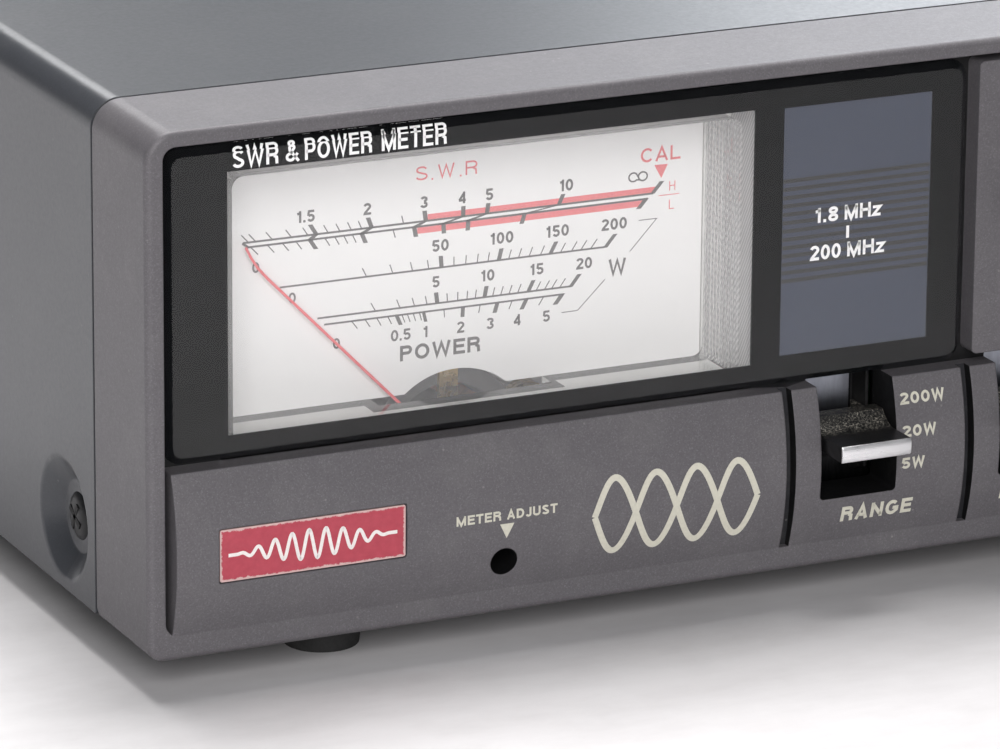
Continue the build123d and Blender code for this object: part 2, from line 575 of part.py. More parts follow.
with BuildPart() as coupler_board:
    block(37.5, 117.5, 72.0, 98.0, 17.4, 19.0)
    for bx, by, w, d, h in ((46, 78, 7, 5, 4), (58, 76, 3, 8, 3), (97, 76, 3, 8, 3), (109, 78, 7, 5, 4), (68, 92, 4, 4, 5), (88, 92, 4, 4, 5)):
        block(bx - w / 2, bx + w / 2, by - d / 2, by + d / 2, 18.9, 19.0 + h)
keep("coupler_board", coupler_board)

for name, sx in (("input_socket", SOCKETS[0]), ("antenna_socket", SOCKETS[1])):
    with BuildPart() as socket:
        with BuildSketch(front(102.0)):
            with Locations((sx, SOCKET_Z)):
                RectangleRounded(25.4, 25.4, 1.0)
                with GridLocations(18.3, 18.3, 2, 2):
                    Circle(1.6, mode=Mode.SUBTRACT)
        extrude(amount=-1.6)
        rod_y(sx, SOCKET_Z, SOCKET_R, 103.5, SOCKET_END)
        rod_y(sx, SOCKET_Z, 7.9, 96.0, 102.1)
        rod_y(sx, SOCKET_Z, 5.8, 95.0, SOCKET_END + 1, mode=Mode.SUBTRACT)
        # coupling notches in the rim
        for k in range(4):
            a = radians(45 + 90 * k)
            rod_y(sx + 6.9 * cos(a), SOCKET_Z + 6.9 * sin(a), 0.55, SOCKET_END - 0.8, SOCKET_END + 1, mode=Mode.SUBTRACT)
    keep(name, socket)

with BuildPart() as socket_insulators:
    for sx in SOCKETS:
        rod_y(sx, SOCKET_Z, 5.8, 96.5, 107.5)
        rod_y(sx, SOCKET_Z, 2.6, 96.0, 109.0, mode=Mode.SUBTRACT)
keep("socket_insulators", socket_insulators)

with BuildPart() as socket_contacts:
    for sx in SOCKETS:
        rod_y(sx, SOCKET_Z, 2.6, 90.0, 114.0)
        rod_y(sx, SOCKET_Z, CONTACT_R, 102.0, 115.0, mode=Mode.SUBTRACT)
keep("socket_contacts", socket_contacts)

with BuildPart() as socket_screws:
    for sx in SOCKETS:
        for i in (-1, 1):
            for k in (-1, 1):
                px, pz = sx + i * 9.15, SOCKET_Z + k * 9.15
                rod_y(px, pz, 2.7, 103.6, 105.4)
                rod_y(px, pz, 1.5, 96.6, 103.7)
                block(px - 1.6, px + 1.6, 104.5, 105.6, pz - 0.35, pz + 0.35, mode=Mode.SUBTRACT)
                block(px - 0.35, px + 0.35, 104.5, 105.6, pz - 1.6, pz + 1.6, mode=Mode.SUBTRACT)
keep("socket_screws", socket_screws)

with BuildPart() as socket_nuts:
    for sx in SOCKETS:
        for i in (-1, 1):
            for k in (-1, 1):
                hexa_y(sx + i * 9.15, SOCKET_Z + k * 9.15, 5.5, 97.8, 100.2)
                rod_y(sx + i * 9.15, SOCKET_Z + k * 9.15, 1.5, 97.0, 101.0, mode=Mode.SUBTRACT)
keep("socket_nuts", socket_nuts)

with BuildPart() as dc_jack:
    block(JACK_X - 4.5, JACK_X + 4.5, 88.0, 101.0, JACK_Z - 4.5, JACK_Z + 4.5)
    rod_y(JACK_X, JACK_Z, 3.0, 100.9, 105.5)
    rod_y(JACK_X, JACK_Z, JACK_BORE_R, 91.5, 106.0, mode=Mode.SUBTRACT)
    for k in (-2.5, 2.5):
        block(JACK_X + k - 0.9, JACK_X + k + 0.9, 84.5, 88.1, JACK_Z - 0.25, JACK_Z + 0.25)
keep("dc_jack", dc_jack)

with BuildPart() as panel_nuts:
    # one behind the knob, one on the supply jack
    hexa_y(KNOB_X, KNOB_Z, 10.0, -2.2, 0.1)
    rod_y(KNOB_X, KNOB_Z, 3.5, -3.0, 1.0, mode=Mode.SUBTRACT)
    rod_y(JACK_X, JACK_Z, 5.0, 102.0, 102.6)
    hexa_y(JACK_X, JACK_Z, 8.5, 102.5, 104.4)
    rod_y(JACK_X, JACK_Z, 3.0, 101.0, 106.0, mode=Mode.SUBTRACT)
keep("panel_nuts", panel_nuts)

# ------------------------------------------------------------- feet and fasteners
with BuildPart() as feet:
    for fx, fy in FEET:
        with Locations(at(fx, fy, -FOOT_H / 2)):
            Cone(FOOT_R - 0.5, FOOT_R, FOOT_H)
        rod_z(fx, fy, 1.6, -FOOT_H - 1, 1, mode=Mode.SUBTRACT)
        rod_z(fx, fy, 3.1, -FOOT_H - 1, -2.2, mode=Mode.SUBTRACT)
keep("feet", feet)

with BuildPart() as foot_screws:
    for fx, fy in FEET:
        rod_z(fx, fy, 2.8, -3.9, -2.2)
        rod_z(fx, fy, 1.5, -2.3, 2.8)
        block(fx - 1.7, fx + 1.7, fy - 0.35, fy + 0.35, -4.2, -3.1, mode=Mode.SUBTRACT)
        block(fx - 0.35, fx + 0.35, fy - 1.7, fy + 1.7, -4.2, -3.1, mode=Mode.SUBTRACT)
keep("foot_screws", foot_screws)

with BuildPart() as cover_screws:
    for sgn, xs in ((1, 0.0), (-1, CASE_W)):
        for dy, dz in COVER_SCREWS:
            head = (xs + sgn * 0.2, xs + sgn * 2.0)
            rod_x(dy, dz, 3.5, min(head), max(head))
    fillet([e for e in edges().filter_by(GeomType.CIRCLE) if abs(abs(e.center().X) - (CASE_W / 2 - 0.2)) < 0.05], 1.2)
    for sgn, xs in ((1, 0.0), (-1, CASE_W)):
        for dy, dz in COVER_SCREWS:
            tail = (xs + sgn * 1.9, xs + sgn * 8.0)
            rod_x(dy, dz, 1.5, min(tail), max(tail))
            cut = (xs - sgn * 0.5, xs + sgn * 1.3)
            block(min(cut), max(cut), dy - 2.0, dy + 2.0, dz - 0.42, dz + 0.42, mode=Mode.SUBTRACT)
            block(min(cut), max(cut), dy - 0.42, dy + 0.42, dz - 2.0, dz + 2.0, mode=Mode.SUBTRACT)
keep("cover_screws", cover_screws)

with BuildPart() as bezel_screws:
    for bx, bz in BEZEL_SCREWS:
        rod_y(bx, bz, 2.7, BEZEL_D + 1.2, BEZEL_D + 3.0)
        rod_y(bx, bz, 1.5, 8.0, BEZEL_D + 1.3)
keep("bezel_screws", bezel_screws)

# ------------------------------------------------------------- inner wiring
with BuildPart() as inner_wires:
    # coupler to board
    for k in range(3):
        wx = 100.0 + 2.0 * k
        with BuildLine() as run:
            FilletPolyline(at(wx, 69.1, 24.0), at(wx, 58.0, 24.0), at(wx, 44.0, 8.0), at(wx, 34.0, 8.0), at(wx, 25.0, 20.0), at(wx, 16.5, 20.0), radius=4.0)
        with BuildSketch(Plane(origin=run.line @ 0, z_dir=run.line % 0)) as cut:
            Circle(0.6)
        sweep(cut.sketch, path=run.line)
    # supply jack to the lamp circuit
    for k in (-1, 1):
        with BuildLine() as run:
            h = 6.5 + 1.5 * k
            FilletPolyline(at(JACK_X + 2.5 * k, 84.4, JACK_Z), at(JACK_X + 2.5 * k, 77.0, JACK_Z), at(JACK_X + 2.5 * k, 66.0, h), at(JACK_X + 14 + 2.5 * k, 52.0, h), at(84.0 + 2.5 * k, 46.0, h), at(90.0 + 1.5 * k, 34.0, h), at(90.0 + 1.5 * k, 25.0, 10.5), at(90.0 + 1.5 * k, 16.5, 10.5), radius=3.5)
        with BuildSketch(Plane(origin=run.line @ 0, z_dir=run.line % 0)) as cut:
            Circle(0.6)
        sweep(cut.sketch, path=run.line)
keep("inner_wires", inner_wires)

os.makedirs("parts", exist_ok=True)
for name, part in pieces.items():
    part.label = name
    export_step(part, "parts/" + name + ".step")
print(len(pieces), "pieces")
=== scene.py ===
import math
import json
import random

import bpy
import bmesh
from mathutils import Vector, Matrix


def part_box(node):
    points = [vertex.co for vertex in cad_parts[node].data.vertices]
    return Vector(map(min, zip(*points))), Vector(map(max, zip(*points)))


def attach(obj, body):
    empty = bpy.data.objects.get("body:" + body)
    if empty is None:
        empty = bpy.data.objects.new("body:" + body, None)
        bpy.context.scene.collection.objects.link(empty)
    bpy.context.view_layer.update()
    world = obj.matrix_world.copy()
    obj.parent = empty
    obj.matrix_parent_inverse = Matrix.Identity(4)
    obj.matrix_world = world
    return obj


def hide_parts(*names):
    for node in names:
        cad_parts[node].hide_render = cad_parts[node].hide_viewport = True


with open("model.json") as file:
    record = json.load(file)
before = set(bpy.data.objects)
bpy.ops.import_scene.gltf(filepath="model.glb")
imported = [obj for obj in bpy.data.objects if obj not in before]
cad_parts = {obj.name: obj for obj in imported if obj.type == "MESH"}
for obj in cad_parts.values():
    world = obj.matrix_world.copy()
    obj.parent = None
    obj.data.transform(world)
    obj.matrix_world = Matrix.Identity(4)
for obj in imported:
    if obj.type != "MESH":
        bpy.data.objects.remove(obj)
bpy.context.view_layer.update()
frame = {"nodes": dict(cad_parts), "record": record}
nodes = frame["nodes"]
scene = bpy.context.scene
random.seed(7)

MM = 0.001


def D(x, y, z):
    """Design millimetres (from the case's left side, front face and underside) to the shared frame."""
    return Vector(((x - 77.5) * MM, (y - 51.0) * MM, (z + 4.5) * MM))


# ------------------------------------------------------------------ node materials
class Mat:
    def __init__(self, name):
        self.m = bpy.data.materials.new(name)
        self.m.use_nodes = True
        self.t = self.m.node_tree
        self.t.nodes.clear()
        self.out = self.t.nodes.new("ShaderNodeOutputMaterial")
        self.co = self.t.nodes.new("ShaderNodeTexCoord").outputs["Object"]

    def node(self, kind, inputs=None, **props):
        n = self.t.nodes.new(kind)
        for k, v in props.items():
            setattr(n, k, v)
        for k, v in (inputs or {}).items():
            if isinstance(v, bpy.types.NodeSocket):
                self.t.links.new(v, n.inputs[k])
            else:
                n.inputs[k].default_value = v
        return n

    def noise(self, scale, detail=2.0, rough=0.5, co=None, distortion=0.0):
        return self.node("ShaderNodeTexNoise", {"Vector": co or self.co, "Scale": scale, "Detail": detail, "Roughness": rough, "Distortion": distortion}).outputs["Fac"]

    def cells(self, scale, co=None, feature="F1"):
        return self.node("ShaderNodeTexVoronoi", {"Vector": co or self.co, "Scale": scale}, feature=feature)

    def scaled(self, sx, sy, sz):
        n = self.node("ShaderNodeMapping", {"Vector": self.co, "Scale": (sx, sy, sz)})
        return n.outputs["Vector"]

    def ramp(self, fac, lo, hi, a=0.0, b=1.0):
        n = self.node("ShaderNodeMapRange", {"Value": fac, "From Min": lo, "From Max": hi, "To Min": a, "To Max": b})
        return n.outputs["Result"]

    def math(self, op, a, b=0.0):
        n = self.t.nodes.new("ShaderNodeMath")
        n.operation = op
        for i, v in ((0, a), (1, b)):
            if isinstance(v, bpy.types.NodeSocket):
                self.t.links.new(v, n.inputs[i])
            else:
                n.inputs[i].default_value = v
        return n.outputs[0]

    def mix(self, fac, a, b):
        n = self.t.nodes.new("ShaderNodeMix")
        n.data_type = "RGBA"
        for name, v in (("Factor_Float", fac), ("A_Color", a), ("B_Color", b)):
            sock = next(s for s in n.inputs if s.identifier == name)
            if isinstance(v, bpy.types.NodeSocket):
                self.t.links.new(v, sock)
            else:
                sock.default_value = v if isinstance(v, float) else (*v, 1.0)
        return next(s for s in n.outputs if s.identifier == "Result_Color")

    def xyz(self):
        n = self.node("ShaderNodeSeparateXYZ", {"Vector": self.co})
        return n.outputs

    def bump(self, height, strength, distance, edge=0.0):
        n = self.node("ShaderNodeBump", {"Height": height, "Strength": strength, "Distance": distance})
        if edge:
            b = self.node("ShaderNodeBevel", {"Radius": edge}, samples=4)
            self.t.links.new(b.outputs["Normal"], n.inputs["Normal"])
        return n.outputs["Normal"]

    def principled(self, **kw):
        p = self.t.nodes.new("ShaderNodeBsdfPrincipled")
        for k, v in kw.items():
            s = p.inputs[k.replace("_", " ")]
            if isinstance(v, bpy.types.NodeSocket):
                self.t.links.new(v, s)
            elif isinstance(v, tuple) and len(v) == 3 and s.type == "RGBA":
                s.default_value = (*v, 1.0)
            else:
                s.default_value = v
        self.t.links.new(p.outputs[0], self.out.inputs["Surface"])
        return p


def shade(c, k):
    return tuple(min(1.0, x * k) for x in c)


def paint(name, base, grain=0.10, grain_scale=2600.0, fleck=0.0, fleck_scale=2300.0, fleck_color=(0.5, 0.5, 0.52), rough=0.45, rough_var=0.06, metal=0.0,
          bump=0.12, bump_scale=3800.0, dust=0.0, large=0.05, spec=0.5, coat=0.0, coat_rough=0.2, edge=0.0):
    m = Mat(name)
    fine = m.noise(grain_scale, 2.0, 0.65)
    broad = m.noise(38.0, 3.0, 0.55)
    col = m.mix(m.ramp(fine, 0.3, 0.7), shade(base, 1 - grain), shade(base, 1 + grain))
    col = m.mix(m.ramp(broad, 0.35, 0.65), col, m.mix(0.5 if large <= 0 else min(1.0, large * 6), col, shade(base, 1 + large * 2)))
    if fleck:
        v = m.cells(fleck_scale)
        r = m.node("ShaderNodeSeparateColor", {"Color": v.outputs["Color"]}).outputs[0]
        col = m.mix(m.ramp(r, 0.80, 0.98, 0.0, fleck), col, fleck_color)
    if dust:
        v = m.cells(420.0)
        patch = m.noise(26.0, 3.0, 0.6)
        spot = m.math("MULTIPLY", m.ramp(v.outputs["Distance"], 0.075, 0.045), m.ramp(patch, 0.42, 0.62))
        film = m.ramp(m.noise(95.0, 5.0, 0.7), 0.5, 0.85, 0.0, dust * 0.3)
        col = m.mix(m.math("MAXIMUM", m.math("MULTIPLY", spot, dust), film), col, (0.45, 0.44, 0.42))
    r = m.ramp(m.noise(grain_scale * 0.35, 3.0, 0.6), 0.3, 0.7, rough - rough_var, rough + rough_var)
    nrm = m.bump(m.noise(bump_scale, 2.0, 0.6), bump, 0.00004, edge)
    m.principled(Base_Color=col, Roughness=r, Metallic=metal, Specular_IOR_Level=spec, Coat_Weight=coat, Coat_Roughness=coat_rough, Normal=nrm)
    return m.m


def metal(name, base, rough=0.25, streak=(1.0, 1.0, 1.0), streak_scale=900.0, var=0.12, tarnish=0.15, dark=(0.2, 0.17, 0.13), bump=0.08, edge=0.0):
    m = Mat(name)
    co = m.scaled(*streak)
    s = m.noise(streak_scale, 3.0, 0.6, co)
    t = m.noise(120.0, 4.0, 0.65)
    col = m.mix(m.ramp(s, 0.3, 0.7), shade(base, 1 - var), shade(base, 1 + var))
    col = m.mix(m.ramp(t, 0.5, 0.8, 0.0, tarnish), col, dark)
    r = m.math("ADD", m.ramp(s, 0.3, 0.7, rough * 0.75, rough * 1.25), m.ramp(t, 0.5, 0.8, 0.0, 0.2))
    m.principled(Base_Color=col, Roughness=r, Metallic=1.0, Normal=m.bump(s, bump, 0.00003, edge))
    return m.m


def clear(name, tint=(1.0, 1.0, 1.0), rough=0.0, ior=1.49, smear=0.0, through=(0.96, 0.96, 0.96), spec=0.5):
    """Clear plastic: true refraction to the eye, and light passes straight through it."""
    m = Mat(name)
    p = m.principled(Base_Color=tint, Roughness=rough, IOR=ior, Transmission_Weight=1.0, Specular_IOR_Level=spec)
    tr = m.node("ShaderNodeBsdfTransparent", {"Color": (*through, 1.0)})
    lp = m.node("ShaderNodeLightPath")
    mx = m.node("ShaderNodeMixShader")
    m.t.links.new(m.math("MAXIMUM", lp.outputs["Is Shadow Ray"], lp.outputs["Is Diffuse Ray"]), mx.inputs[0])
    m.t.links.new(p.outputs[0], mx.inputs[1])
    m.t.links.new(tr.outputs[0], mx.inputs[2])
    m.t.links.new(mx.outputs[0], m.out.inputs["Surface"])
    return m.m


def ink(name, color, rough=0.55, worn=0.06):
    m = Mat(name)
    n = m.noise(2600.0, 3.0, 0.6)
    col = m.mix(m.ramp(n, 0.3, 0.7), shade(color, 1 - worn), shade(color, 1 + worn))
    m.principled(Base_Color=col, Roughness=m.ramp(n, 0.3, 0.7, rough - 0.05, rough + 0.05), Normal=m.bump(n, 0.05, 0.00002))
    return m.m


BEZEL = (0.117, 0.111, 0.119)
M = {
    "bezel_paint": paint("bezel_paint", BEZEL, grain=0.10, grain_scale=3800.0, fleck=0.22, fleck_scale=7500.0, fleck_color=(0.26, 0.25, 0.27), rough=0.45, rough_var=0.03, metal=0.15, bump=0.20, bump_scale=5200.0, dust=0.30, spec=0.28, large=0.01, edge=0.00028),
    "bezel_bare": paint("bezel_bare", (0.006, 0.006, 0.0065), grain=0.2, rough=0.55, dust=0.1, spec=0.25),
    "groove_floor": paint("groove_floor", (0.018, 0.018, 0.021), grain=0.2, rough=0.5, dust=0.3, spec=0.3),
    "case_paint": paint("case_paint", (0.046, 0.049, 0.056), grain=0.06, grain_scale=4200.0, fleck=0.10, fleck_scale=7500.0, fleck_color=(0.13, 0.14, 0.15), rough=0.33, rough_var=0.03, metal=0.1, bump=0.18, bump_scale=4500.0, dust=0.12, spec=0.40, large=0.01, edge=0.0003),
    "black_steel": paint("black_steel", (0.028, 0.028, 0.030), grain=0.15, rough=0.42, bump=0.3, dust=0.3, edge=0.0002),
    "mask_black": paint("mask_black", (0.004, 0.0045, 0.005), grain=0.03, rough=0.6, rough_var=0.01, bump=0.0, spec=0.0),
    "label_blue": paint("label_blue", (0.046, 0.055, 0.082), grain=0.03, rough=0.6, rough_var=0.01, bump=0.0, spec=0.0),
    "badge_red": None,
    "meter_white": paint("meter_white", (0.72, 0.72, 0.70), grain=0.02, rough=0.5, bump=0.06, large=0.02),
    "dial_white": paint("dial_white", (0.86, 0.855, 0.845), grain=0.012, grain_scale=900.0, rough=0.55, bump=0.04, large=0.01),
    "meter_clear": clear("meter_clear", (0.985, 0.985, 0.985), 0.0, 1.55, 0.02, through=(0.99, 0.99, 0.99)),
    "clear_acrylic": clear("clear_acrylic", (0.99, 0.99, 0.99), 0.0, 1.49, 0.03, through=(0.99, 0.99, 0.99), spec=0.1),
    "needle_red": paint("needle_red", (0.80, 0.13, 0.15), grain=0.05, rough=0.45),
    "copper": metal("copper", (0.62, 0.24, 0.12), 0.35, (1, 40, 1), 250.0, 0.25, 0.2, (0.15, 0.05, 0.03), 0.5),
    "steel": metal("steel", (0.56, 0.56, 0.57), 0.25, (1, 0.1, 1)),
    "magnet": paint("magnet", (0.10, 0.10, 0.105), grain=0.25, rough=0.45, metal=0.5, bump=0.5),
    "brass": metal("brass", (0.66, 0.48, 0.22), 0.28),
    "nickel": metal("nickel", (0.70, 0.68, 0.64), 0.18, edge=0.0002),
    "black_plastic": paint("black_plastic", (0.016, 0.016, 0.017), grain=0.15, rough=0.38, bump=0.25, dust=0.35, edge=0.00018),
    "knob_cap_alu": metal("knob_cap_alu", (0.46, 0.46, 0.48), 0.28, (1, 1, 1), 2200.0, edge=0.0002),
    "board_green": paint("board_green", (0.03, 0.14, 0.05), grain=0.12, grain_scale=700.0, rough=0.35, bump=0.1),
    "zinc_steel": metal("zinc_steel", (0.58, 0.58, 0.55), 0.36, (1, 1, 1), 160.0, 0.18, 0.3, (0.3, 0.28, 0.2), edge=0.0002),
    "screw_black": paint("screw_black", (0.010, 0.010, 0.011), grain=0.2, rough=0.42, metal=0.0, bump=0.2, dust=0.1, spec=0.3, edge=0.00012),
    "rubber_black": paint("rubber_black", (0.018, 0.018, 0.018), grain=0.2, rough=0.72, bump=0.4, dust=0.5, edge=0.0003),
    "insulator": paint("insulator", (0.62, 0.55, 0.42), grain=0.05, rough=0.45, bump=0.1),
    "ferrite": paint("ferrite", (0.07, 0.07, 0.075), grain=0.3, rough=0.55, bump=0.6, bump_scale=1500.0),
    "lamp_glass": clear("lamp_glass", (1.0, 0.97, 0.9), 0.0, 1.5),
    "wire_sheath": paint("wire_sheath", (0.30, 0.04, 0.04), grain=0.1, rough=0.4),
}


def red_badge():
    m = Mat("badge_red")
    n = m.noise(900.0, 4.0, 0.7)
    b = m.noise(140.0, 3.0, 0.6)
    col = m.mix(m.ramp(n, 0.3, 0.7), (0.36, 0.030, 0.055), (0.43, 0.045, 0.072))
    out = m.xyz()
    cx, cz = D(BADGE[0], 0, BADGE[1])[0], D(BADGE[0], 0, BADGE[1])[2]
    ex = m.math("SUBTRACT", 11.65 * MM, m.math("ABSOLUTE", m.math("SUBTRACT", out["X"], cx)))
    ez = m.math("SUBTRACT", 3.15 * MM, m.math("ABSOLUTE", m.math("SUBTRACT", out["Z"], cz)))
    e = m.math("MINIMUM", ex, ez)
    worn = m.ramp(m.math("ADD", e, m.math("MULTIPLY", m.math("SUBTRACT", m.noise(1300.0, 4.0, 0.75), 0.5), 0.0009)), 0.00030, 0.00018)
    col = m.mix(m.math("MULTIPLY", worn, 0.75), col, (0.62, 0.50, 0.47))
    m.principled(Base_Color=col, Roughness=m.ramp(b, 0.3, 0.7, 0.33, 0.45), Coat_Weight=0.2, Coat_Roughness=0.2, Normal=m.bump(n, 0.08, 0.00003))
    return m.m


BADGE = ((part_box("badge_plate")[0][0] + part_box("badge_plate")[1][0]) / 2 / MM + 77.5, (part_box("badge_plate")[0][2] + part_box("badge_plate")[1][2]) / 2 / MM - 4.5)
M["badge_red"] = red_badge()



def switch_metal():
    m = Mat("switch_metal")
    pos = m.xyz()
    s = m.noise(1500.0, 3.0, 0.6, m.scaled(1, 1, 0.2))
    # Painted light and shade: the frame metal is pale bluish only above lever height and within a band behind each
    # slot. It is near black below and beside that band, standing in for the shade that falls inside the slots.
    painted_lit_mask = m.ramp(pos["Z"], D(0, 0, 16.5)[2], D(0, 0, 18.5)[2])
    inside = 0.0
    for sx in (91.0, 115.3, 139.6):
        inside = m.math("MAXIMUM", inside, m.math("LESS_THAN", m.math("ABSOLUTE", m.math("SUBTRACT", pos["X"], D(sx - 1.7, 0, 0)[0])), 0.0041))
    painted_lit_mask = m.math("MULTIPLY", painted_lit_mask, inside)
    col = m.mix(painted_lit_mask, (0.02, 0.02, 0.021), (0.42, 0.44, 0.50))
    col = m.mix(m.ramp(s, 0.35, 0.7, 0.0, 0.25), col, (0.10, 0.10, 0.11))
    m.principled(Base_Color=col, Roughness=0.34, Metallic=1.0, Normal=m.bump(s, 0.1, 0.00003))
    return m.m


slot_of = {s["node"]: s["material_slot"] for s in frame["record"]["subparts"]}
for name, obj in nodes.items():
    obj.data.materials.clear()
    obj.data.materials.append(M.get(slot_of[name], M["zinc_steel"]) if slot_of[name] != "silver_tip" else M["nickel"])


nodes["switch_frames"].data.materials[0] = switch_metal()
nodes["front_bridge"].data.materials[0] = metal("dulled_brass", (0.11, 0.09, 0.06), 0.5)

# ------------------------------------------------------------------ mesh helpers
def add_mesh(name, verts, faces, mats, body="case", smooth=None, face_mats=None):
    me = bpy.data.meshes.new(name)
    me.from_pydata([tuple(v) for v in verts], [], faces)
    me.update()
    if smooth is not None:
        me.shade_smooth()
        me.set_sharp_from_angle(angle=math.radians(smooth))
    for m in (mats if isinstance(mats, (list, tuple)) else [mats]):
        me.materials.append(m)
    if face_mats:
        for p, i in zip(me.polygons, face_mats):
            p.material_index = i
    o = bpy.data.objects.new(name, me)
    scene.collection.objects.link(o)
    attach(o, body)
    return o


def from_bm(name, bm, mats, body="case", smooth=35.0):
    me = bpy.data.meshes.new(name)
    bm.normal_update()
    bm.to_mesh(me)
    bm.free()
    if smooth is not None:
        me.shade_smooth()
        me.set_sharp_from_angle(angle=math.radians(smooth))
    for m in (mats if isinstance(mats, (list, tuple)) else [mats]):
        me.materials.append(m)
    o = bpy.data.objects.new(name, me)
    scene.collection.objects.link(o)
    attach(o, body)
    return o


# ------------------------------------------------------------------ stroke lettering (plain sans, drawn here)
def arc(cx, cy, rx, ry, a0, a1, n=14):
    return [(cx + rx * math.cos(math.radians(a0 + (a1 - a0) * i / n)), cy + ry * math.sin(math.radians(a0 + (a1 - a0) * i / n))) for i in range(n + 1)]


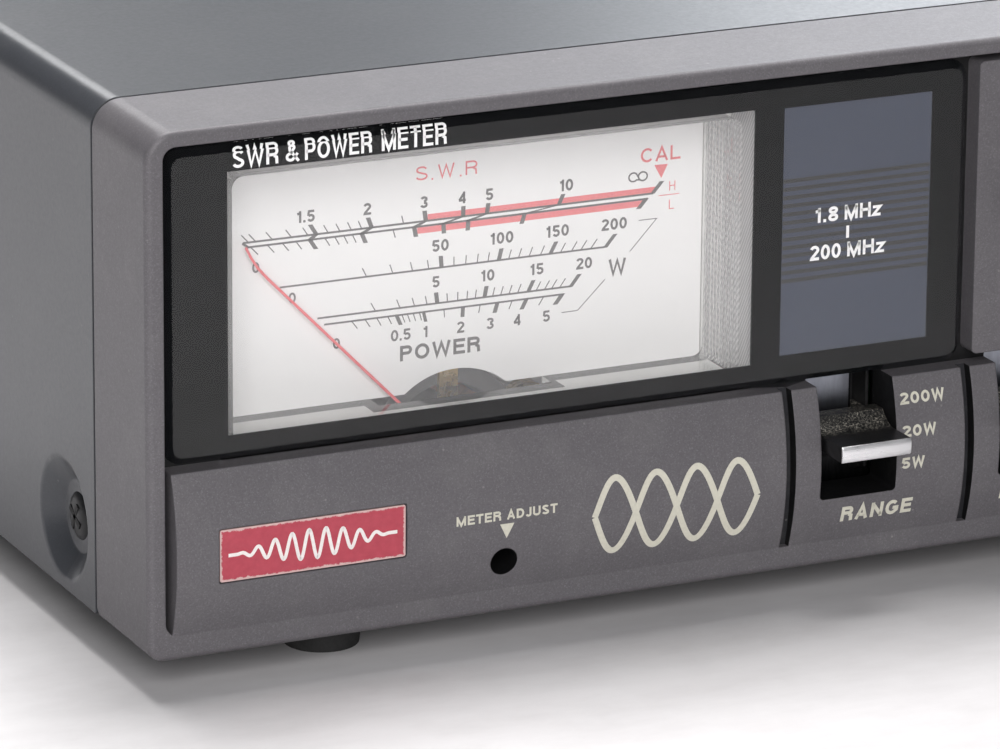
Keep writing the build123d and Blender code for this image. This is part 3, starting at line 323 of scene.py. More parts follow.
def glyph(ch, t):
    """Centre lines of a capital of height 1 drawn with a stroke t wide: (width, strokes)."""
    a = t / 2
    b = 1 - a
    W = 0.69
    c = W / 2
    if ch == "0":
        return W, [arc(c, 0.5, c - a, 0.5 - a, 90, 450, 28)]
    if ch == "1":
        x = 0.30
        return 0.44, [[(x, 0), (x, 1)], [(0.04, 0.76), (x - 0.02, 0.80), (x, 0.90)]]
    if ch == "2":
        return W, [arc(c, 0.70, c - a, 0.30 - a, 165, -28, 14) + [(a + 0.04, a + 0.06), (a + 0.02, a), (W, a)]]
    if ch == "3":
        return W, [arc(c, 0.745, c - a - 0.01, 0.255 - a, 160, -90, 12), arc(c, 0.28, c - a, 0.28 - a, 90, -165, 14)]
    if ch == "4":
        return 0.62, [[(0.46, 0), (0.46, 1)], [(0.46, b - 0.02), (0.07, 0.32), (0.07, 0.30)], [(0.0, 0.27), (0.62, 0.27)]]
    if ch == "5":
        return W, [[(W - 0.05, b), (a + 0.07, b), (a + 0.02, 0.52)], arc(c, 0.33, c - a, 0.33 - a, 140, -155, 16)]
    if ch == "8":
        return W, [arc(c, 0.745, c - a - 0.02, 0.255 - a, 90, 450, 20), arc(c, 0.27, c - a, 0.27 - a, 90, 450, 22)]
    if ch == "A":
        return 0.74, [[(a * 0.9, 0), (0.37, b + a * 0.4), (0.74 - a * 0.9, 0)], [(0.17, 0.30), (0.57, 0.30)]]
    if ch == "C":
        return 0.72, [arc(0.38, 0.5, 0.38 - a, 0.5 - a, 42, 318, 24)]
    if ch == "D":
        return 0.70, [[(a, a), (a, b), (0.32, b)] + arc(0.32, 0.5, 0.38 - a, 0.5 - a, 88, -88, 18) + [(a, a), (a, a + 0.1)]]
    if ch == "E":
        return 0.62, [[(0.62, b), (a, b), (a, a), (0.62, a)], [(a, 0.52), (0.57, 0.52)]]
    if ch == "F":
        return 0.58, [[(0.58, b), (a, b), (a, 0)], [(a, 0.50), (0.52, 0.50)]]
    if ch == "G":
        return 0.76, [arc(0.38, 0.5, 0.38 - a, 0.5 - a, 45, 318, 24) + [(0.76 - a, 0.30), (0.76 - a, 0.47), (0.42, 0.47)]]
    if ch == "H":
        return 0.70, [[(a, 0), (a, 1)], [(0.70 - a, 0), (0.70 - a, 1)], [(a, 0.53), (0.70 - a, 0.53)]]
    if ch == "I":
        return t + 0.04, [[(a + 0.02, 0), (a + 0.02, 1)]]
    if ch == "J":
        return 0.54, [[(0.54 - a, 1), (0.54 - a, 0.30)] + arc(0.27, 0.28, 0.27 - a, 0.28 - a, 0, -170, 12)]
    if ch == "K":
        return 0.70, [[(a, 0), (a, 1)], [(0.66, 1), (a + 0.02, 0.36)], [(0.28, 0.60), (0.69, 0)]]
    if ch == "L":
        return 0.58, [[(a, 1), (a, a), (0.58, a)]]
    if ch == "M":
        return 0.84, [[(a, 0), (a, 1)], [(0.84 - a, 0), (0.84 - a, 1)], [(a, b), (0.42, 0.06), (0.84 - a, b)]]
    if ch == "N":
        return 0.72, [[(a, 0), (a, 1)], [(0.72 - a, 0), (0.72 - a, 1)], [(a, b), (0.72 - a, a)]]
    if ch == "O":
        return 0.78, [arc(0.39, 0.5, 0.39 - a, 0.5 - a, 90, 450, 30)]
    if ch == "P":
        return 0.66, [[(a, 0), (a, b), (0.40, b)] + arc(0.40, 0.70, 0.26 - a, 0.30 - a, 88, -88, 12) + [(a, 0.40 + a)]]
    if ch == "R":
        return 0.70, [[(a, 0), (a, b), (0.42, b)] + arc(0.42, 0.72, 0.26 - a, 0.28 - a, 88, -88, 12) + [(a, 0.44 + a)], [(0.44, 0.46), (0.58, 0.36), (0.60, 0.0)]]
    if ch == "S":
        return 0.66, [arc(0.33, 0.735, 0.31 - a, 0.265 - a, 20, 250, 14) + arc(0.33, 0.27, 0.33 - a, 0.27 - a, 75, -165, 16)]
    if ch == "T":
        return 0.62, [[(0, b), (0.62, b)], [(0.31, 0), (0.31, b)]]
    if ch == "U":
        return 0.70, [[(a, 1), (a, 0.34)] + arc(0.35, 0.34, 0.35 - a, 0.34 - a, 180, 360, 16) + [(0.70 - a, 1)]]
    if ch == "V":
        return 0.70, [[(a * 0.9, 1), (0.35, a * 0.7), (0.70 - a * 0.9, 1)]]
    if ch == "W":
        return 0.98, [[(a * 0.9, 1), (0.27, a * 0.8), (0.49, b - 0.02), (0.71, a * 0.8), (0.98 - a * 0.9, 1)]]
    if ch == "Z":
        return 0.62, [[(0, b), (0.58, b), (0.04, a), (0.62, a)]]
    if ch == "z":
        return 0.50, [[(0.02, 0.72 - a), (0.46, 0.72 - a), (0.05, a), (0.50, a)]]
    if ch == "&":
        return 0.78, [[(0.76, 0.0), (0.24, 0.66)] + arc(0.36, 0.80, 0.20 - a * 0.8, 0.20 - a, 205, -40, 12) + [(0.30, 0.47)] + arc(0.30, 0.27, 0.30 - a, 0.27 - a, 110, 300, 12) + [(0.70, 0.46)]]
    if ch == ".":
        return t + 0.04, [[(a + 0.02, 0), (a + 0.02, t)]]
    if ch == "-":
        return 0.38, [[(0, 0.40), (0.38, 0.40)]]
    if ch == "/":
        return 0.42, [[(0.02, 0), (0.40, 1)]]
    if ch == "+":
        return 0.5, [[(0, 0.42), (0.5, 0.42)], [(0.25, 0.17), (0.25, 0.67)]]
    if ch == "~":
        return 1.42, [arc(0.38, 0.36, 0.36 - a, 0.34 - a, 45, 315, 18) + arc(1.04, 0.36, 0.36 - a, 0.34 - a, 225, -135, 22) + arc(0.38, 0.36, 0.36 - a, 0.34 - a, 45, 50, 1)]
    return 0.30, []


def ribbon(line, t):
    """A flat strip t wide along a line of points: (points, faces) in 2-D, with mitred corners."""
    pts = [line[0]]
    for p in line[1:]:
        if math.hypot(p[0] - pts[-1][0], p[1] - pts[-1][1]) > 1e-5:
            pts.append(p)
    if len(pts) < 2:
        return [], []
    closed = math.hypot(pts[0][0] - pts[-1][0], pts[0][1] - pts[-1][1]) < 1e-4 and len(pts) > 3
    if closed:
        pts = pts[:-1]
    n = len(pts)
    v, f = [], []
    for i in range(n):
        p = pts[i]
        a = pts[(i - 1) % n] if (closed or i > 0) else None
        b = pts[(i + 1) % n] if (closed or i < n - 1) else None
        dirs = []
        if a is not None:
            d = (p[0] - a[0], p[1] - a[1])
            k = math.hypot(*d)
            dirs.append((d[0] / k, d[1] / k))
        if b is not None:
            d = (b[0] - p[0], b[1] - p[1])
            k = math.hypot(*d)
            dirs.append((d[0] / k, d[1] / k))
        if len(dirs) == 1:
            nx, ny, s = -dirs[0][1], dirs[0][0], t / 2
        else:
            mx, my = -(dirs[0][1] + dirs[1][1]), dirs[0][0] + dirs[1][0]
            k = math.hypot(mx, my) or 1.0
            nx, ny = mx / k, my / k
            cosv = max(0.42, nx * -dirs[0][1] + ny * dirs[0][0])
            s = t / 2 / cosv
        v += [(p[0] + nx * s, p[1] + ny * s), (p[0] - nx * s, p[1] - ny * s)]
    for i in range(n if closed else n - 1):
        j = (i + 1) % n
        f.append((2 * i, 2 * i + 1, 2 * j + 1, 2 * j))
    return v, f


class Print:
    """Collects flat shapes in a 2-D plane, then lays them on a surface as one thin raised film."""

    def __init__(self):
        self.v, self.f = [], []

    def add(self, v, f):
        k = len(self.v)
        self.v += v
        self.f += [tuple(i + k for i in q) for q in f]

    def line(self, pts, t):
        self.add(*ribbon(pts, t))

    def poly(self, pts):
        self.add(list(pts), [tuple(range(len(pts)))])

    def text(self, s, x0, x1, z0, h, t=0.19, gap=None, center=False, slant=0.0):
        """Lettering with its baseline at z0 and height h. With x1 the line is spread to end there; centred, x0 is the middle."""
        gl = [glyph(c, t) for c in s]
        nat = sum(g[0] for g in gl) * h
        k = 1.0
        if gap is None:
            gap = 0.13 * h
            if x1 is not None:
                k = (x1 - x0 - gap * (len(s) - 1)) / nat
        nat *= k
        if center:
            x0 = x0 - (nat + gap * (len(s) - 1)) / 2
        x = x0
        for w, strokes in gl:
            for line in strokes:
                v, f = ribbon([(p[0] * k, p[1]) for p in line], t)
                self.add([(x + (p[0] + slant * p[1]) * h, z0 + p[1] * h) for p in v], f)
            x += w * k * h + gap
        return x

    def make(self, name, surface, mat, body="case", slot=None, film=0.03, step=None):
        bm = bmesh.new()
        vs = [bm.verts.new((p[0], p[1], 0)) for p in self.v]
        for q in self.f:
            try:
                bm.faces.new([vs[i] for i in q])
            except ValueError:
                pass
        if step:
            for _ in range(6):
                long = [e for e in bm.edges if abs(e.verts[0].co.y - e.verts[1].co.y) > step]
                if not long:
                    break
                bmesh.ops.subdivide_edges(bm, edges=long, cuts=1, use_grid_fill=False)
        bmesh.ops.triangulate(bm, faces=[f for f in bm.faces if len(f.verts) > 4])
        for v in bm.verts:
            x, z = v.co.x, v.co.y
            v.co = D(x, surface(x, z), z)
        for f in bm.faces:
            f.normal_update()
            if f.normal.y > 0:
                f.normal_flip()
        if film:
            ret = bmesh.ops.extrude_face_region(bm, geom=list(bm.faces))
            top = [g for g in ret["geom"] if isinstance(g, bmesh.types.BMVert)]
            for v in top:
                v.co.y -= film * MM
            bmesh.ops.recalc_face_normals(bm, faces=bm.faces)
        return from_bm(name, bm, mat, body, smooth=None)


from mathutils.bvhtree import BVHTree

probe = BVHTree.FromPolygons([v.co.copy() for v in nodes["front_bezel"].data.vertices], [tuple(q.vertices) for q in nodes["front_bezel"].data.polygons])


def skin(x, z):
    """Front surface of the moulding at a point, in design millimetres."""
    hit = probe.ray_cast(D(x, -30, z), Vector((0, 1, 0)))
    return hit[0].y / MM + 51.0 if hit[0] is not None else 0.0


def strip_y(x, z):
    """Front surface of the bulged control strip."""
    t = (z - 12.75) / 9.75
    # circle through (0, 3), (-1.6, 12.75), (0.15, 22.5)
    return -1.6 * (1 - t * t) + 0.075 * (1 + t)


# ------------------------------------------------------------------ the meter's dial
PX, PZ = 44.4, 16.2
INK = ink("dial_ink", (0.125, 0.120, 0.118))
INK_RED = ink("dial_red", (0.78, 0.20, 0.21))


def ray(angle, z):
    return (PX + (z - PZ) * math.tan(math.radians(angle)), z)


def dial():
    g, r = Print(), Print()

    def tick(angle, z0, z1, t):
        g.line([ray(angle, z0), ray(angle, z1)], t)

    def slanted(angle, z0, z1, w):
        x0, x1 = ray(angle, z0)[0], ray(angle, z1)[0]
        g.poly([(x0 - w / 2, z0), (x0 + w / 2, z0), (x1 + w / 2, z1), (x1 - w / 2, z1)])

    # standing wave ratio: one double line, upper marks for high power and lower marks for low power
    g.line([(17.3, 44.95), ray(41.8, 44.95)], 0.24)
    g.line([(17.6, 44.37), ray(41.6, 44.37)], 0.24)
    g.line([(17.2, 44.93), (18.0, 44.30)], 0.30)
    for a in (-42.6, -41.6, -39.2, -36.2, -33.4, -29.7, -27.4, -25.1, -22.9, -13.3):
        tick(a, 44.95, 45.93, 0.14)
    for a in (-42.9, -40.5, -38.2, -36.0, -30.8, -28.9, -27.1, -25.3, -16.1):
        tick(a, 44.37, 43.37, 0.14)
    for hi, lo in ((-31.9, -33.6), (-20.7, -23.3), (-7.8, -10.9), (1.7, -3.4), (7.8, 3.1), (24.8, 17.4)):
        slanted(hi, 44.95, 46.20, 0.56)
        slanted(lo, 43.17, 44.37, 0.56)
        xa, xb = ray(hi, 44.95)[0], ray(lo, 44.37)[0]
        w = 0.55 + 0.35 * abs(xa - xb) / 3
        g.poly([(xb - w / 2 - 0.1, 44.37), (xb + w / 2 + 0.1, 44.37), (xa + w / 2, 44.95), (xa - w / 2, 44.95)])
    slanted(41.7, 44.90, 46.33, 0.62)
    slanted(41.3, 43.25, 44.42, 0.66)
    xr = ray(-7.8, 45.4)[0] + 0.3
    r.poly([(xr, 45.08), (ray(41.7, 45.08)[0] - 0.3, 45.08), (ray(41.7, 45.74)[0] - 0.3, 45.74), (xr, 45.74)])
    xl = ray(-10.9, 43.9)[0] + 0.3
    r.poly([(xl, 43.50), (ray(41.3, 43.50)[0] - 0.32, 43.50), (ray(41.3, 44.24)[0] - 0.32, 44.24), (xl, 44.24)])
    for s, x in (("1.5", 25.18), ("2", 32.97), ("3", 40.21), ("4", 45.15), ("5", 48.64), ("10", 58.65)):
        g.text(s, x, None, 46.55, 1.42, 0.20, gap=0.16, center=True)
    g.text("~", 66.72, 69.42, 46.55, 1.85, 0.105)
    r.text("S", 39.10, 40.72, 49.95, 1.68, 0.125)
    r.text("W", 41.95, 44.15, 49.95, 1.68, 0.125)
    r.text("R", 45.50, 47.15, 49.95, 1.68, 0.125)
    for x in (41.28, 44.92):
        r.text(".", x, None, 49.85, 1.65, 0.13, center=True)
    r.text("CAL", 68.35, 73.65, 48.85, 1.75, 0.155)
    r.poly([(70.2, 48.42), (71.14, 46.72), (71.98, 48.36)])
    r.text("H", 72.62, None, 45.05, 1.15, 0.10, center=True)
    r.line([(70.85, 44.56), (73.55, 44.56)], 0.09)
    r.text("L", 72.55, None, 42.75, 1.15, 0.10, center=True)
    # power, 200 watt range
    g.line([(21.9, 39.05), ray(40.4, 39.05)], 0.22)
    for a in (-26.7, -19.6, -13.8, -8.8, -0.7, 3.1, 6.8, 10.2, 16.6, 19.5, 22.5, 25.6, 30.7, 33.3, 35.4, 37.5):
        tick(a, 39.05, 40.16, 0.13)
    for a in (-4.7, 13.6, 28.2):
        slanted(a, 39.05, 40.46, 0.54)
    slanted(40.5, 38.96, 40.5, 0.58)
    for s, x in (("50", 42.35), ("100", 50.3), ("150", 57.55), ("200", 65.0)):
        g.text(s, x, None, 41.05, 1.42, 0.20, gap=0.20, center=True)
    # power, 20 watt and 5 watt ranges on one double line
    g.line([(26.65, 34.72), ray(39.0, 34.72)], 0.22)
    for a in (-29.2, -21.3, -16.1, -11.4, -3.4, 0.7, 4.4, 7.7, 14.4, 17.4, 20.4, 23.4, 29.4, 31.9, 33.9, 36.1):
        tick(a, 34.72, 35.78, 0.13)
    for a in (-7.4, 11.3, 26.9):
        slanted(a, 34.72, 36.06, 0.54)
    slanted(39.0, 34.62, 36.1, 0.58)
    for s, x in (("5", 41.8), ("10", 48.5), ("15", 54.9), ("20", 61.1)):
        g.text(s, x, None, 36.68, 1.38, 0.20, gap=0.18, center=True)
    g.line([(27.5, 33.86), ray(38.6, 33.86)], 0.22)
    for a in (-37.2, -33.5, -30.0, -26.4, -21.5, -19.5, -17.3, -14.9, -5.0, 10.1, 22.5, 32.9):
        tick(a, 33.86, 32.88, 0.13)
    for a, w in ((-23.4, 0.50), (-13.3, 0.42), (3.0, 0.50), (17.0, 0.54), (27.5, 0.56)):
        slanted(a, 32.64, 33.86, w)
    slanted(38.1, 32.70, 33.95, 0.66)
    for s, x in (("0.5", 37.3), ("1", 40.5), ("2", 45.03), ("3", 48.85), ("4", 52.4), ("5", 56.2)):
        g.text(s, x, None, 30.72, 1.38, 0.19, gap=0.16, center=True)
    g.text("POWER", 37.15, 47.65, 28.15, 1.88, 0.20)
    g.text("W", 64.30, 66.65, 35.42, 2.0, 0.165)
    g.line([(68.25, 41.82), (70.62, 41.80), (67.12, 38.12)], 0.10)
    g.line([(63.85, 35.02), (60.3, 31.62), (58.2, 31.60)], 0.10)
    for x, z in ((18.87, 41.83), (23.45, 37.61), (29.07, 31.38)):
        g.text("0", x, None, z - 0.66, 1.30, 0.18, center=True)
    return g, r


dy = 14.0
g, r = dial()
g.make("dial_scales", lambda x, z: dy - 0.004, INK, slot="dial_white", film=0.02)
r.make("dial_red_marks", lambda x, z: dy - 0.002, INK_RED, slot="dial_white", film=0.02)

# ------------------------------------------------------------------ the pointer: a thin flattened wire, slightly bowed at its tip
def pointer():
    along = Vector((-math.sin(math.radians(44.2)), 0, math.cos(math.radians(44.2))))
    side = Vector((along.z, 0, -along.x))
    pts = [(4.0, -0.45), (6.0, -0.5), (20.0, -0.5), (34.6, -0.5), (36.4, -0.40), (37.9, -0.10), (39.35, 0.35)]
    verts, faces = [], []
    for k, (u, bow) in enumerate(pts):
        c = Vector((44.4, 13.0, 16.2)) + along * u + side * bow
        w = 0.20 - 0.03 * u / 39
        for a in range(8):
            an = math.pi * 2 * (a + 0.5) / 8
            q = c + side * (w * math.cos(an)) + Vector((0, 1, 0)) * (0.13 * math.sin(an))
            verts.append(D(q.x, q.y, q.z))
    for k in range(len(pts) - 1):
        for a in range(8):
            b = (a + 1) % 8
            faces.append((k * 8 + a, k * 8 + b, (k + 1) * 8 + b, (k + 1) * 8 + a))
    faces.append(tuple(reversed(range(8))))
    faces.append(tuple(range(len(verts) - 8, len(verts))))
    k = len(verts)
    for y in (12.72, 13.28):
        for a in range(24):
            an = math.pi * 2 * a / 24
            verts.append(D(44.4 + 1.35 * math.cos(an), y, 16.2 + 1.35 * math.sin(an)))
    for a in range(24):
        b = (a + 1) % 24
        faces.append((k + a, k + b, k + 24 + b, k + 24 + a))
    faces.append(tuple(k + a for a in reversed(range(24))))
    faces.append(tuple(k + 24 + a for a in range(24)))
    for w, u0, u1 in ((0.55, 1.2, 4.4), (0.6, -1.2, -6.5)):
        q = [Vector((44.4, 0, 16.2)) + along * u + side * v for u, v in ((u0, -w), (u0, w), (u1, w * 0.6 - 0.3), (u1, -w * 0.6 - 0.3))]
        k = len(verts)
        verts.extend(D(c.x, 12.87, c.z) for c in q)
        verts.extend(D(c.x, 13.13, c.z) for c in q)
        faces.extend([(k, k + 1, k + 2, k + 3), (k + 7, k + 6, k + 5, k + 4)])
        faces.extend([(k + a, k + 4 + a, k + 4 + (a + 1) % 4, k + (a + 1) % 4) for a in range(4)])
    o = add_mesh("needle_pointer", verts, faces, M["needle_red"], "needle", smooth=40)
    bm = bmesh.new()
    bm.from_mesh(o.data)
    bmesh.ops.recalc_face_normals(bm, faces=bm.faces)
    bm.to_mesh(o.data)
    bm.free()
    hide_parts("needle")


pointer()

# ------------------------------------------------------------------ print behind the clear panel
WHITE = ink("print_white", (0.88, 0.88, 0.88))
CREAM = ink("print_cream", (0.56, 0.545, 0.46))
STRIPE = ink("label_stripes", (0.002, 0.002, 0.003), worn=0.0)

p = Print()
p.text("SWR", 11.45, 17.15, 57.33, 2.10, 0.165)
p.text("&", 18.0, 19.65, 57.35, 2.05, 0.16)
p.text("POWER", 20.40, 28.75, 57.33, 2.10, 0.165)
p.text("METER", 29.95, 38.15, 57.33, 2.10, 0.165)
p.make("title_print", lambda x, z: 2.70, WHITE, slot="mask_black", film=0.03)

p = Print()
p.text("1.8", 86.20, 89.30, 42.22, 1.82, 0.20)
p.text("MHz", 90.15, 95.00, 42.22, 1.82, 0.19)
p.line([(90.62, 39.95), (90.62, 41.45)], 0.38)
p.text("200", 85.65, 89.75, 37.62, 1.82, 0.20)
p.text("MHz", 90.60, 95.60, 37.62, 1.82, 0.19)
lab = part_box("frequency_label")
p.make("label_print", lambda x, z: 2.80, WHITE, slot="label_blue", film=0.02)

p = Print()
band = 13
for i in range(band):
    z = 35.5 + i * (47.8 - 35.5) / (band - 1)
    p.poly([(81.9, z - 0.25), (101.5, z - 0.25), (101.5, z + 0.25), (81.9, z + 0.25)])
p.make("label_stripes", lambda x, z: 2.835, STRIPE, slot="label_blue", film=0.012)

# ------------------------------------------------------------------ print on the control strip
p = Print()
p.text("METER", 37.95, 43.75, 12.05, 1.15, 0.21)
p.text("ADJUST", 44.45, 51.0, 12.05, 1.15, 0.21)
p.poly([(43.6, 11.55), (44.5, 9.75), (45.42, 11.55)])
p.text("200W", 96.75, 102.85, 19.15, 1.38, 0.225)
p.text("20W", 96.80, 101.50, 15.22, 1.38, 0.225)
p.text("5W", 96.72, 99.95, 11.28, 1.38, 0.225)
p.text("RANGE", 88.95, 98.60, 5.45, 1.92, 0.225, slant=0.06)
p.text("FUNCTION", 110.7, 125.3, 5.45, 1.92, 0.225, slant=0.06)
p.text("POWER", 121.1, 127.2, 19.15, 1.15, 0.21)
p.text("CAL", 121.1, 124.6, 15.30, 1.15, 0.21)
p.text("SWR", 121.1, 124.9, 11.40, 1.15, 0.21)
p.text("POWER", 137.3, 147.3, 5.45, 1.92, 0.225, slant=0.06)
p.text("FWD", 145.3, 149.4, 19.15, 1.15, 0.21)
p.text("REF", 145.3, 148.9, 15.30, 1.15, 0.21)
p.text("OFF", 145.3, 148.9, 11.40, 1.15, 0.21)


# an abstract standing wave in place of a type number
def wave(x0, x1, zc, amp, lobes, sign, n=26):
    pts = []
    for i in range(n * lobes + 1):
        u = i / n
        pts.append((x0 + (x1 - x0) * u / lobes, zc + sign * amp * math.sin(math.pi * u)))
    return pts


p.line(wave(55.9, 77.4, 10.7, 4.6, 4, 1), 0.78)
q = Print()
q.line(wave(55.9, 77.4, 10.7, 4.6, 4, -1), 0.78)
q.make("strip_ornament", lambda x, z: skin(x, z) - 0.045, CREAM, slot="bezel_paint", film=0.02, step=0.6)
p.make("strip_print", lambda x, z: skin(x, z) - 0.012, CREAM, slot="bezel_paint", film=0.035, step=0.6)

# upper right field: scale round the knob and the button's name
p = Print()
for i in range(11):
    a = math.radians(240 - 30 * i)
    p.line([(134 + 13.2 * math.cos(a), 42 + 13.2 * math.sin(a)), (134 + 14.6 * math.cos(a), 42 + 14.6 * math.sin(a))], 0.35)
p.text("CAL", 134, None, 25.6, 1.7, 0.19, center=True)
p.text("MONITOR", 115.0, None, 35.0, 1.35, 0.19, gap=0.2, center=True)
p.make("field_print", lambda x, z: skin(x, z) - 0.012, CREAM, slot="bezel_paint", film=0.035)

# ------------------------------------------------------------------ badge mark: a plain modulated wave, no lettering
p = Print()
bx, bz = BADGE
pts = []
n = 220
for i in range(n + 1):
    u = i / n
    env = 1.75 * math.sin(math.pi * u) ** 1.2
    pts.append((bx - 9.6 + 19.2 * u, bz + env * math.sin(2 * math.pi * 9 * u)))
p.line(pts, 0.42)
p.line([(bx - 10.6, bz), (bx - 9.6, bz)], 0.42)
p.line([(bx + 9.6, bz), (bx + 10.6, bz)], 0.42)
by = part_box("badge_plate")[0][1] / MM + 51.0
p.make("badge_mark", lambda x, z: by + 0.004, ink("badge_white", (0.78, 0.74, 0.72)), slot="badge_red", film=0.02)


# ------------------------------------------------------------------ switch levers
def lever(name, sx, body):
    zc = 15.65
    # hub saddle with concave flanks running into a flat paddle, seen from the side as (y, z)
    prof = []
    for i in range(9):
        u = i / 8
        prof.append((3.4 - 1.9 * u, 2.6 - 0.02 * u))
    for i in range(1, 11):
        u = i / 10
        prof.append((1.5 - 2.9 * u, 2.58 - (2.58 - 0.92) * math.sin(u * math.pi / 2) ** 0.75))
    for i in range(1, 5):
        u = i / 4
        prof.append((-1.4 - 4.35 * u, 0.92 + 0.08 * u))
    full = prof + [(y, -z) for y, z in reversed(prof)]
    bm = bmesh.new()
    w = 4.72
    a = [bm.verts.new(D(sx - w, y, zc + z)) for y, z in full]
    b = [bm.verts.new(D(sx + w, y, zc + z)) for y, z in full]
    bm.faces.new(a)
    bm.faces.new(list(reversed(b)))
    m = len(full)
    for i in range(m):
        j = (i + 1) % m
        bm.faces.new((a[j], a[i], b[i], b[j]))
    bmesh.ops.recalc_face_normals(bm, faces=bm.faces)
    rim = [e for e in bm.edges if abs(e.verts[0].co.x - e.verts[1].co.x) < 1e-9]
    bmesh.ops.bevel(bm, geom=rim, offset=0.00012, segments=2, profile=0.6, affect="EDGES", clamp_overlap=True)
    # stem that enters the switch
    x0, x1 = sx + 2.9, sx + 4.7
    box = bmesh.ops.create_cube(bm, size=1.0)["verts"]
    for v in box:
        v.co = D(x0 + (v.co.x + 0.5) * (x1 - x0), 3.3 + (v.co.y + 0.5) * 5.7, zc - 1.5 + (v.co.z + 0.5) * 3.0)
    o = from_bm(name + "_cap", bm, M["lever_black"], body, smooth=40)
    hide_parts(name)
    # silver front face, slightly crowned
    bm = bmesh.new()
    rows = []
    for i in range(9):
        u = -1 + 2 * i / 8
        rows.append((-6.0 + 0.16 * u * u * abs(u), u * 1.0))
    back = (-5.70, 1.0)
    prof = rows + [(back[0], 1.0), (back[0], -1.0)]
    a = [bm.verts.new(D(sx - 4.66, y - 0.0, zc + z)) for y, z in prof]
    b = [bm.verts.new(D(sx + 4.66, y - 0.0, zc + z)) for y, z in prof]
    bm.faces.new(a)
    bm.faces.new(list(reversed(b)))
    m = len(prof)
    for i in range(m):
        j = (i + 1) % m
        bm.faces.new((a[j], a[i], b[i], b[j]))
    bmesh.ops.recalc_face_normals(bm, faces=bm.faces)
    ends = [e for e in bm.edges if abs(e.verts[0].co.x - e.verts[1].co.x) < 1e-9 and e.verts[0].co.y < D(0, -5.72, 0)[1]]
    bmesh.ops.bevel(bm, geom=ends, offset=0.00010, segments=2, profile=0.6, affect="EDGES", clamp_overlap=True)
    o = from_bm(name + "_face", bm, M["silver_tip"], body, smooth=40)
    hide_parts(name + "_tip")


def lever_black():
    m = Mat("lever_black")
    out = m.xyz()
    fine = m.noise(5200.0, 3.0, 0.75)
    col = m.mix(m.ramp(fine, 0.3, 0.7), (0.006, 0.006, 0.0065), (0.011, 0.011, 0.012))
    up = m.node("ShaderNodeSeparateXYZ", {"Vector": m.node("ShaderNodeNewGeometry").outputs["Normal"]}).outputs["Z"]
    grit = m.math("MULTIPLY", m.ramp(m.noise(4200.0, 4.0, 0.8), 0.50, 0.66), m.ramp(up, 0.05, 0.5))
    back = m.ramp(out["Y"], D(0, -1.6, 0)[1], D(0, -0.4, 0)[1])
    dust = m.math("MULTIPLY", grit, m.math("MULTIPLY", back, m.ramp(m.noise(500.0, 3.0, 0.6), 0.35, 0.6, 0.15, 0.9)))
    col = m.mix(dust, col, (0.50, 0.47, 0.40))
    r = m.math("ADD", m.ramp(fine, 0.3, 0.7, 0.30, 0.42), m.math("MULTIPLY", dust, 0.3))
    m.principled(Base_Color=col, Roughness=r, Specular_IOR_Level=0.4, Normal=m.bump(fine, 0.15, 0.00003))
    return m.m


M["lever_black"] = lever_black()
M["silver_tip"] = metal("silver_tip", (0.86, 0.86, 0.87), 0.30, (0.05, 1, 1), 2500.0, 0.05, 0.04, (0.5, 0.5, 0.5), 0.05, edge=0.00015)
for nm, sx in (("range_lever", 91.0), ("function_lever", 115.3), ("power_lever", 139.6)):
    lever(nm, sx, nm)


# ------------------------------------------------------------------ knob: pointer line
p = Print()
p.poly([(133.65, 46.5), (134.35, 46.5), (134.35, 50.2), (133.65, 50.2)])
o = p.make("knob_pointer", lambda x, z: -14.0, WHITE, "cal_knob", "black_plastic", film=0.03)

